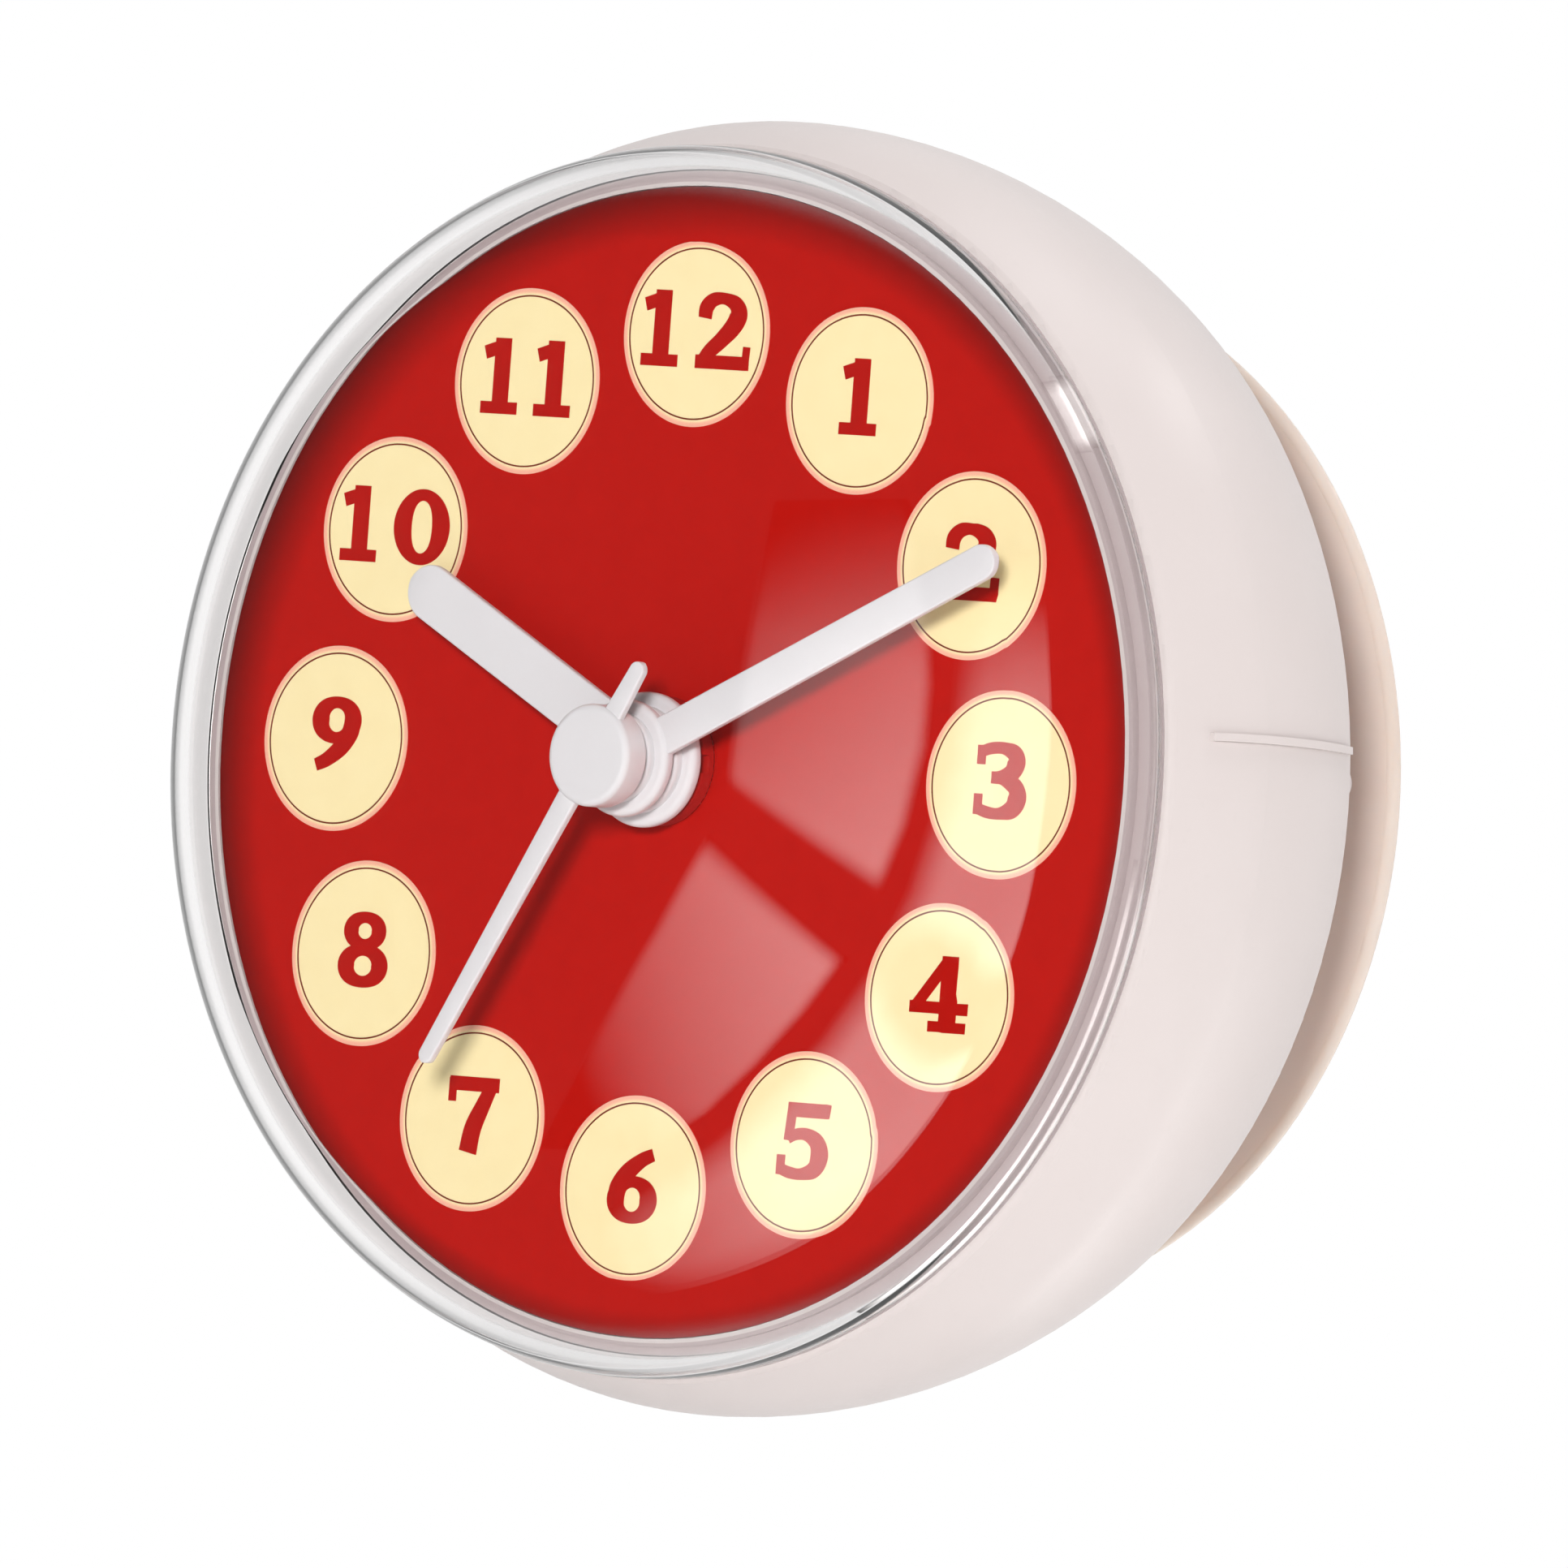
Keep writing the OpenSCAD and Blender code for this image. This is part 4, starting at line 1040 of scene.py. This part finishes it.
@dataclass(frozen=True)
class Dial:
    """The red dial with twelve printed badges and their numerals, in millimetres."""

    hours: int = 12
    pitch_r: float = 28.4
    badge_r: float = 6.2
    badge_rings: tuple[float, ...] = (0.0, 0.5, 0.9, 0.92, 0.94, 0.96, 0.98, 1.0)
    badge_sides: int = 96
    line_r: float = 5.69
    line_w: float = 0.11
    line_sides: int = 128
    ink: float = 0.05
    line_inks: float = 1.4
    numeral_inks: float = 1.6
    stroke_inks: float = 0.05
    numeral_h: float = 5.07
    numeral_up: float = 0.25
    digit_gap: float = 0.28

    def face(self) -> float:
        """Height of the dial's face over the wall."""
        return -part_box("dial_plate")[0].y / MM

    def centre(self, hour: int) -> np.ndarray:
        """Middle of an hour's badge in the dial's plane."""
        angle = math.radians(90.0 - 360.0 * hour / self.hours)
        return self.pitch_r * np.array([math.cos(angle), math.sin(angle)])

    def badge(self, hour: int) -> bpy.types.Object:
        """A thin round print whose points store their share of the radius as "edge".

        Args:
            hour: The hour that it marks.

        Returns:
            The badge's object.
        """
        shares = np.array(self.badge_rings)
        top, low = self.face() + self.ink, self.face() - self.ink
        front = np.stack([shares * self.badge_r, np.full(len(shares), top)], -1)
        disc = lathe(np.vstack([front, [self.badge_r, low], [0.0, low]]), self.badge_sides)
        edge = np.hypot(disc.points[:, 0], disc.points[:, 2]) / self.badge_r
        disc.points[:, [0, 2]] += self.centre(hour)
        piece = disc.build(f"badge_{hour:02d}")
        store(piece, "edge", edge)
        return piece

    def ring(self, hour: int) -> bpy.types.Object:
        """The thin line just inside a badge's edge, a turned rectangle.

        Args:
            hour: The hour that it marks.

        Returns:
            The line's object.
        """
        inner, outer = self.line_r - self.line_w / 2, self.line_r + self.line_w / 2
        low, top = self.face(), self.face() + self.ink * self.line_inks
        loop = lathe(np.array([[inner, low], [outer, low], [outer, top], [inner, top]]), self.line_sides)
        loop.points[:, [0, 2]] += self.centre(hour)
        return loop.build(f"badge_line_{hour:02d}")

    def numeral(self, hour: int) -> bpy.types.Object:
        """An hour's numeral, upright, set from its digits' strokes.

        Each stroke is a hair thicker than the one before, so that no two tops lie in one plane.

        Args:
            hour: The number to set.

        Returns:
            The numeral's object.
        """
        digits = str(hour)
        width = sum(GLYPHS[d][0] for d in digits) + self.digit_gap * (len(digits) - 1)
        corner = self.centre(hour) + [-width * self.numeral_h / 2, self.numeral_up - self.numeral_h / 2]
        parts, start = [], 0.0
        for digit in digits:
            for stroke in GLYPHS[digit][1]:
                path, half = stroke.trace()
                top = self.ink * (self.numeral_inks + self.stroke_inks * len(parts))
                parts.append(sweep(corner + (path + [start, 0.0]) * self.numeral_h, half * self.numeral_h,
                                   flat_section(0.0, top), self.face(), stroke.line is Line.RING))
            start += GLYPHS[digit][0] + self.digit_gap
        return join(parts).build(f"numeral_{hour:02d}")

    def build(self) -> None:
        """Print the twelve hours on the plate."""
        DIAL_RED.dress(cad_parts["dial_plate"])
        for hour in range(1, self.hours + 1):
            for piece, finish in ((self.badge(hour), CREAM), (self.ring(hour), BADGE_LINE),
                                  (self.numeral(hour), NUMERAL_RED)):
                finish.dress(piece)
                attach(piece, "case")
                LOG.info("dial: %s", piece.name)


@dataclass(frozen=True)
class Hand:
    """One moulded hand: a blade with a round tip on a stepped round hub, with soft edges, in millimetres."""

    node: str
    body: str
    length: float
    root_w: float
    tip_w: float
    hub_r: float
    turned: float
    hub_t: float = 1.1
    boss_in: float = 0.9
    blade_mid: float = 0.55
    thick: float = 0.6
    tail: float = 0.0
    fillet: float = 0.14
    hub_fillet: float = 0.45
    tip_flat: float = 0.01
    root_steps: int = 12
    tip_steps: int = 13
    hub_sides: int = 96

    def blade(self, middle: float, length: float, turned: float) -> Surface:
        """A blade from the axis outwards.

        The half width goes evenly from root to tip, and over the last half tip width it closes as a
        circle, the root of one minus the square of the share of that length.

        Args:
            middle: Height of the blade's middle over the wall.
            length: Reach from the axis.
            turned: Angle clockwise from 12, in degrees.

        Returns:
            The closed blade.
        """
        round_from = length - self.tip_w / 2
        share = np.sin(np.linspace(0.0, np.pi / 2, self.tip_steps))
        even = np.linspace(0.0, round_from, self.root_steps, endpoint=False)
        reach = np.concatenate([even, round_from + share * self.tip_w / 2])
        half = np.interp(reach, [0.0, round_from], [self.root_w / 2, self.tip_w / 2])
        half[self.root_steps:] *= np.sqrt(np.maximum(1.0 - share ** 2, 0.0))
        half = np.maximum(half, self.fillet + self.tip_flat)
        angle = math.radians(turned)
        path = reach[:, None] * np.array([[math.sin(angle), math.cos(angle)]])
        return sweep(path, half, rounded_section(self.thick, self.fillet), middle)

    def build(self) -> None:
        """Make the hand in the place of its solid."""
        low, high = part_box(self.node)
        base, top = -high.y / MM, -low.y / MM
        middle = base + self.blade_mid
        hub = rounded_disc(self.hub_r, base, base + self.hub_t, self.hub_fillet)
        parts = [self.blade(middle, self.length, self.turned), lathe(hub, self.hub_sides)]
        if top > base + self.hub_t + self.fillet:
            boss = rounded_disc(self.hub_r - self.boss_in, base + self.thick, top, self.hub_fillet)
            parts.append(lathe(boss, self.hub_sides))
        if self.tail > 0.0:
            parts.append(self.blade(middle, self.tail, self.turned + 180.0))
        piece = join(parts).build(self.node + "_moulded")
        HAND.dress(piece)
        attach(piece, self.body)
        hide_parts(self.node)
        LOG.info("hands: %s", piece.name)


@dataclass(frozen=True)
class Lens:
    """The clear front: a skirt, a rounded shoulder and a shallow dome, in millimetres."""

    shoulder: float = 8.0
    slope: float = 12.0
    wall: float = 1.0
    skirt: float = 1.2
    bead: float = 0.15
    dome_steps: int = 40
    shoulder_steps: int = 48
    bead_steps: int = 5
    sides: int = 256

    def half(self, reach: float, apex: float, inset: float, foot_inset: float) -> np.ndarray:
        """One side of the wall, from the axis to the shoulder's foot.

        The dome is a circle about the axis, (R sin a, apex - R + R cos a) for angles a up to the slope. From
        there the shoulder's arc, (m + s sin a, n + s cos a), goes on to a right angle. Both radii are drawn
        in by the inset, which grows evenly along the arc to the foot's inset.

        Args:
            reach: Radius of the skirt's outside.
            apex: Height of the outside's middle over the wall.
            inset: How far this side's dome lies inside the outer one.
            foot_inset: The same at the shoulder's foot.

        Returns:
            Radius and height, one row for each point.
        """
        turn = math.radians(self.slope)
        middle = reach - self.shoulder
        dome = (middle + self.shoulder * math.sin(turn)) / math.sin(turn)
        foot = apex - dome * (1.0 - math.cos(turn)) - self.shoulder * math.cos(turn)
        a = np.linspace(0.0, turn, self.dome_steps, endpoint=False)
        b = np.linspace(turn, np.pi / 2, self.shoulder_steps)
        round_r, arc = dome - inset, self.shoulder - np.linspace(inset, foot_inset, len(b))
        top = np.stack([round_r * np.sin(a), apex - dome + round_r * np.cos(a)], -1)
        side = np.stack([middle + arc * np.sin(b), foot + arc * np.cos(b)], -1)
        return np.vstack([top, side])

    def build(self) -> None:
        """Turn the lens in the place of its solid, with a quarter-round bead on the skirt's lower edge."""
        low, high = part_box("front_lens")
        reach, apex, bottom = high.x / MM, -low.y / MM, -high.y / MM
        bore = reach - self.skirt
        outer, inner = self.half(reach, apex, 0.0, 0.0), self.half(reach, apex, self.wall, self.skirt)
        angle = np.linspace(0.0, np.pi / 2, self.bead_steps)
        rim = np.stack([reach - self.bead + self.bead * np.cos(angle),
                        bottom + self.bead - self.bead * np.sin(angle)], -1)
        profile = np.vstack([outer, rim, [[bore, bottom]], inner[::-1]])
        piece = lathe(profile, self.sides).build("front_lens_turned")
        LENS.dress(piece)
        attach(piece, "case")
        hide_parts("front_lens")
        LOG.info("lens: %s", piece.name)


@dataclass(frozen=True)
class Dressed:
    """A sub-assembly whose solids already have the right shape and only need their finishes."""

    name: str
    finishes: tuple[tuple[Finish, tuple[str, ...]], ...]

    def build(self) -> None:
        """Give each solid its finish."""
        for finish, nodes in self.finishes:
            for node in nodes:
                finish.dress(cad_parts[node])
                LOG.info("%s: %s in %s", self.name, node, finish.name)


SHELL = Dressed("shell", (
    (CASE, ("case_body",)),
    (COVER, ("rear_cover",)),
    (SEAL, ("lens_gasket", "rear_gasket")),
    (CUP, ("suction_cup",)),
))
MOVEMENT = Dressed("movement", (
    (BLACK, ("movement_base", "movement_cover")),
    (KNOB, ("setting_knob",)),
    (BRASS, ("center_bush",)),
    (NUT, ("bush_nut",)),
    (STEEL, ("bush_washer", "contact_plus", "contact_minus")),
    (NYLON, ("hour_wheel", "cannon_pinion", "center_wheel", "minute_wheel", "third_wheel", "second_wheel",
             "intermediate_wheel", "rotor_pinion")),
    (MAGNET, ("rotor_magnet",)),
    (IRON, ("stator_plate", "coil_core")),
    (SPOOL, ("coil_bobbin",)),
    (WIRE, ("coil_winding",)),
    (BOARD, ("circuit_board",)),
    (RESIN, ("clock_chip",)),
    (CAN, ("quartz_crystal",)),
    (CELL, ("battery",)),
))
HANDS = (
    Hand("hour_hand", "hour_group", length=23.7, root_w=3.75, tip_w=3.75, hub_r=4.5, turned=297.5),
    Hand("minute_hand", "minute_group", length=33.4, root_w=2.65, tip_w=2.4, hub_r=3.9, turned=63.5),
    Hand("second_hand", "second_group", length=24.4, root_w=1.7, tip_w=1.2, hub_r=3.4, turned=210.5,
         hub_t=2.3, blade_mid=1.75, tail=7.3),
)


@dataclass(frozen=True)
class Bar:
    """A dark bar across a pane, in millimetres: its two ends, its half width at each, and its soft rim.

    The rim goes from one half width out to as many half widths as soft says.
    """

    start: Spot
    end: Spot
    start_half: float
    end_half: float
    soft: float

    def passed(self, spots: np.ndarray) -> np.ndarray:
        """Share of the pane's light that passes the bar.

        A point's share along the bar, kept between 0 and 1, gives the nearest place on the middle line
        and the half width there. The light rises evenly from 0 to 1 over the soft rim.

        Args:
            spots: Places (x, z) on the pane, one row for each.

        Returns:
            One share for each place.
        """
        start, way = np.array(self.start), np.subtract(self.end, self.start)
        along = np.clip((spots - start) @ way / way.dot(way), 0.0, 1.0)
        off = np.linalg.norm(spots - start - along[:, None] * way, axis=1)
        half = self.start_half + (self.end_half - self.start_half) * along
        return np.clip((off / half - 1.0) / (self.soft - 1.0), 0.0, 1.0)


@dataclass(frozen=True)
class Pane:
    """A bright pane that shows only in reflections: a ruled sheet between two edges, in millimetres.

    Its light goes from dim to bright between two places, and the three fades are shares of the sheet: at
    both edges, at the start of the edges and at their end.
    """

    name: str
    left: tuple[Spot, ...]
    right: tuple[Spot, ...]
    bright: float
    dim: float = 0.0
    dim_at: Spot = (0.0, 0.0)
    bright_at: Spot = (1.0, 0.0)
    fade: Factors = (0.06, 0.02, 0.02)
    front: float = 1200.0
    tint: Colour = (1.0, 0.985, 0.97)
    bar: Optional[Bar] = None
    rows: int = 33
    columns: int = 49

    @staticmethod
    def spaced(edge: tuple[Spot, ...], count: int) -> np.ndarray:
        """Points at even steps along a broken line.

        Args:
            edge: The line's corners.
            count: How many points.

        Returns:
            One row for each point.
        """
        knots = np.array(edge)
        length = np.concatenate([[0.0], np.cumsum(np.linalg.norm(np.diff(knots, axis=0), axis=1))])
        steps = np.linspace(0.0, length[-1], count)
        return np.stack([np.interp(steps, length, knots[:, k]) for k in range(2)], -1)

    def glow(self) -> bpy.types.Material:
        """Light that rises evenly from the dim place to the bright one, times the stored fade.

        Returns:
            The pane's material.
        """
        made = bpy.data.materials.new("glow_" + self.name)
        made.use_nodes = True
        graph = Graph(made.node_tree)
        x, _, z = graph.axes(graph.place())
        start, way = np.array(self.dim_at) * MM, (np.array(self.bright_at) - self.dim_at) * MM
        slope = way / way.dot(way)
        share = (x - float(start[0])) * float(slope[0]) + (z - float(start[1])) * float(slope[1])
        low = tuple(self.dim / self.bright * channel for channel in self.tint)
        tone = graph.blend(graph.stored("fade"), BLACK_OUT, graph.blend(share.clipped(), low, self.tint))
        graph.output(graph.value("ShaderNodeEmission", 0, None, {"Color": tone, "Strength": self.bright}))
        return made

    def build(self) -> bpy.types.Object:
        """Hang the pane in its plane.

        A point is left + (right - left) u at the share v of both edges' lengths. The stored fade is the
        product of three ramps: over the first and last parts of u, and over the start and the end of v. Where
        the pane has a bar, the fade is also times what passes it.

        Returns:
            The pane's object.
        """
        u = np.linspace(0.0, 1.0, self.rows)[:, None]
        v = np.linspace(0.0, 1.0, self.columns)[None, :]
        left, right = self.spaced(self.left, self.columns), self.spaced(self.right, self.columns)
        flat = (left + (right - left) * u[:, :, None]).reshape(-1, 2)
        points = np.stack([flat[:, 0], np.full(len(flat), -self.front), flat[:, 1]], -1)
        side, start, end = self.fade
        ways = (np.minimum(u, 1.0 - u) / side, v / start, (1.0 - v) / end)
        ramps = [np.clip(way, 0.0, 1.0) for way in ways]
        fade = (ramps[0] * ramps[1] * ramps[2]).reshape(-1)
        if self.bar is not None:
            fade = fade * self.bar.passed(flat)
        sheet = Surface(points, [grid_faces(self.rows, self.columns, False, False)])
        pane = sheet.build("pane_" + self.name)
        store(pane, "fade", fade)
        pane.data.materials.append(self.glow())
        pane.visible_camera = False
        pane.visible_diffuse = False
        pane.visible_shadow = False
        return pane


PANES = (
    Pane("upper",
         left=((-639, 274), (-638, 195), (-641, 116), (-645, 39), (-647, -12)),
         right=((-444, 279), (-404, 209), (-378, 149), (-367, 96), (-366, 36), (-384, -40), (-417, -107)),
         bright=2.7, dim_at=(-640, 230), bright_at=(-410, -70), fade=(0.06, 0.45, 0.05)),
    Pane("lower",
         left=((-674, -63), (-760, -160), (-856, -254), (-952, -345), (-1044, -424)),
         right=((-463, -172), (-525, -231), (-602, -290), (-690, -347), (-794, -397)),
         bright=2.7, dim_at=(-920, -340), bright_at=(-500, -190), fade=(0.05, 0.05, 0.30)),
    Pane("side",
         left=((-349, 173), (-345, 112), (-341, 52), (-355, -23), (-383, -99), (-428, -174),
               (-504, -251), (-593, -317), (-678, -369), (-804, -432), (-947, -492)),
         right=((743, 585), (664, 342), (653, 158), (585, -53), (559, -302), (460, -529),
                (319, -778), (87, -1010), (-235, -1240), (-596, -1146), (-916, -1120)),
         bright=3.0, dim=1.9, dim_at=(0, 250), bright_at=(0, -500), fade=(0.04, 0.12, 0.40),
         bar=Bar((-356, -198), (640, -662), start_half=47.0, end_half=97.0, soft=1.73),
         rows=97, columns=145),
    Pane("low_glint",
         left=((791, -164), (739, -328), (619, -523), (401, -708), (132, -808), (-157, -810), (-430, -712)),
         right=((1040, -201), (977, -400), (834, -636), (574, -861), (258, -982), (-75, -989), (-384, -884)),
         bright=6.0, dim=6.0, fade=(0.15, 0.12, 0.25), front=-1000.0),
    Pane("up_glint",
         left=((90, 815), (312, 1151), (575, 1619)),
         right=((312, 753), (609, 1066), (995, 1520)),
         bright=4.5, dim=4.5, fade=(0.20, 0.05, 0.30), front=-1000.0),
)


def aim(azimuth: float, elevation: float) -> Vector:
    """Unit vector from the clock towards a direction; azimuth 0 is straight in front."""
    a, e = math.radians(azimuth), math.radians(elevation)
    return Vector((math.sin(a) * math.cos(e), -math.cos(a) * math.cos(e), math.sin(e)))


@dataclass(frozen=True)
class Lamp:
    """A soft square lamp that looks at the clock and stays out of its reflections, in metres and watts."""

    name: str
    azimuth: float
    elevation: float
    far: float
    size: float
    power: float

    def build(self) -> None:
        """Hang the lamp in its direction."""
        light = bpy.data.lights.new(self.name, "AREA")
        light.size, light.energy = self.size, self.power
        lamp = bpy.data.objects.new(self.name, light)
        towards = aim(self.azimuth, self.elevation)
        turn = towards.to_track_quat("Z", "Y").to_matrix().to_4x4()
        lamp.matrix_world = Matrix.Translation(towards * self.far) @ turn
        lamp.visible_glossy = False
        lamp.visible_transmission = False
        bpy.context.scene.collection.objects.link(lamp)


LAMPS = (
    Lamp("key", azimuth=32.0, elevation=8.5, far=2.0, size=0.30, power=35.0),
    Lamp("top", azimuth=150.0, elevation=75.0, far=1.3, size=0.60, power=9.0),
    Lamp("back", azimuth=212.0, elevation=38.0, far=1.4, size=0.35, power=3.6),
)


@dataclass(frozen=True)
class Studio:
    """Camera, lamps, reflections and the pale surroundings.

    The bands of the surroundings are parts of a direction's unit vector: its x for left and right, its y
    for depth.
    """

    azimuth: float = 38.9
    elevation: float = -0.3
    roll: float = 4.28
    distance_mm: float = 1730.0
    px_per_mm: float = 18.563
    centre_px: Spot = (823.8, 938.4)
    frame_px: float = 1932.0
    sensor_mm: float = 36.0
    clip_m: Band = (0.05, 20.0)
    ambient: float = 0.15
    ambient_back: float = 0.66
    back_depth: Band = (-0.3, 0.4)
    right_dim: float = 0.08
    right_band: Band = (0.0, 0.9)
    pale_level: float = 0.80
    wall_depth: Band = (-0.25, 0.10)
    wall_shift: float = 0.45
    wall_band: Band = (-0.5, 0.3)
    left_band: Band = (0.65, 0.95)
    left_depth: Band = (-0.35, 0.05)
    front_level: float = 0.015
    inner_level: float = 0.10
    floor_mm: float = -100.0
    floor_r_mm: float = 1600.0
    floor_t_mm: float = 4.0
    floor_rings: int = 9
    floor_sides: int = 96
    lamps: tuple[Lamp, ...] = LAMPS
    panes: tuple[Pane, ...] = PANES

    def camera(self) -> None:
        """Set a long-lens camera.

        It looks at the point that lies in the picture's middle: the dial's centre, moved by that
        centre's offset in the picture over the scale. The focal length is distance times scale over the
        picture's width, times the sensor's width.
        """
        back = aim(self.azimuth, self.elevation)
        right = (-back).cross(Vector((0.0, 0.0, 1.0))).normalized()
        up = right.cross(-back)
        lean = math.radians(self.roll)
        across = right * math.cos(lean) + up * math.sin(lean)
        upward = up * math.cos(lean) - right * math.sin(lean)
        dial = Vector((0.0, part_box("dial_plate")[0].y, 0.0))
        offset = [(self.frame_px / 2 - c) / self.px_per_mm * MM for c in self.centre_px]
        spot = dial + across * offset[0] - upward * offset[1]
        lens = bpy.data.cameras.new("camera")
        lens.sensor_width = self.sensor_mm
        lens.lens = self.distance_mm * self.px_per_mm / self.frame_px * self.sensor_mm
        lens.clip_start, lens.clip_end = self.clip_m
        camera = bpy.data.objects.new("camera", lens)
        turn = Matrix((across, upward, back)).transposed()
        camera.matrix_world = Matrix.Translation(spot + back * self.distance_mm * MM) @ turn.to_4x4()
        bpy.context.scene.collection.objects.link(camera)
        bpy.context.scene.camera = camera

    def surroundings(self) -> None:
        """White for the camera, a dim room for soft light, and a room of its own for gloss and the lens.

        That room has a pale wall behind and at the left, and is dark in front. The wall starts further back
        towards the right, so that it stays out of the lens's right edge.
        """
        world = bpy.data.worlds.new("studio")
        world.use_nodes = True
        graph = Graph(world.node_tree)
        across, depth, _ = graph.axes(graph.value("ShaderNodeTexCoord", "Generated"))
        ray = graph.add("ShaderNodeLightPath")
        camera, glossy, through = (Value(graph, ray.outputs[kind]) for kind in
                                   ("Is Camera Ray", "Is Glossy Ray", "Is Transmission Ray"))
        left = graph.ease(across * -1.0, *self.left_band)
        wall = graph.ease(depth - graph.ease(across, *self.wall_band) * self.wall_shift, *self.wall_depth)
        far = wall.most(left * graph.ease(depth, *self.left_depth))
        pale = far * (left * (1.0 - self.pale_level) + self.pale_level)
        dark = glossy * self.front_level + through * self.inner_level
        mirrored = pale * (1.0 - dark) + dark
        shown = glossy.most(through)
        behind = graph.ease(depth, *self.back_depth) * (self.ambient_back - self.ambient)
        room = behind + self.ambient - graph.ease(across, *self.right_band) * self.right_dim
        other = shown * mirrored + (1.0 - shown) * room
        level = camera + (1.0 - camera) * other
        sky = graph.value("ShaderNodeBackground", 0, None, {"Color": (1.0, 1.0, 1.0, 1.0), "Strength": level})
        graph.output(sky, "ShaderNodeOutputWorld")
        bpy.context.scene.world = world

    def floor(self) -> bpy.types.Object:
        """A pale round floor below the clock: a turned disc, laid flat.

        Returns:
            The floor's object.
        """
        radius = np.linspace(0.0, self.floor_r_mm, self.floor_rings)
        top = np.stack([radius, np.zeros(self.floor_rings)], -1)
        under = [[self.floor_r_mm, -self.floor_t_mm], [0.0, -self.floor_t_mm]]
        sheet = lathe(np.vstack([top, under]), self.floor_sides)
        x, y, z = sheet.points.T
        sheet.points = np.stack([x, z, self.floor_mm - y], -1)
        floor = sheet.outward().build("floor")
        floor.visible_glossy = False
        floor.visible_transmission = False
        TABLE.dress(floor)
        return floor

    def build(self) -> None:
        """Set up the studio round the clock."""
        bpy.context.scene.view_settings.view_transform = "Standard"
        self.camera()
        self.surroundings()
        for lamp in self.lamps:
            lamp.build()
        self.floor()
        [pane.build() for pane in self.panes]
        LOG.info("studio: camera, lamps, panes and floor")


def main() -> None:
    """Build every sub-assembly in order."""
    logging.basicConfig(level=logging.INFO, format="%(name)s %(message)s")
    SHELL.build()
    Dial().build()
    for hand in HANDS:
        hand.build()
    Lens().build()
    MOVEMENT.build()
    Studio().build()


if __name__ == "__main__":
    main()
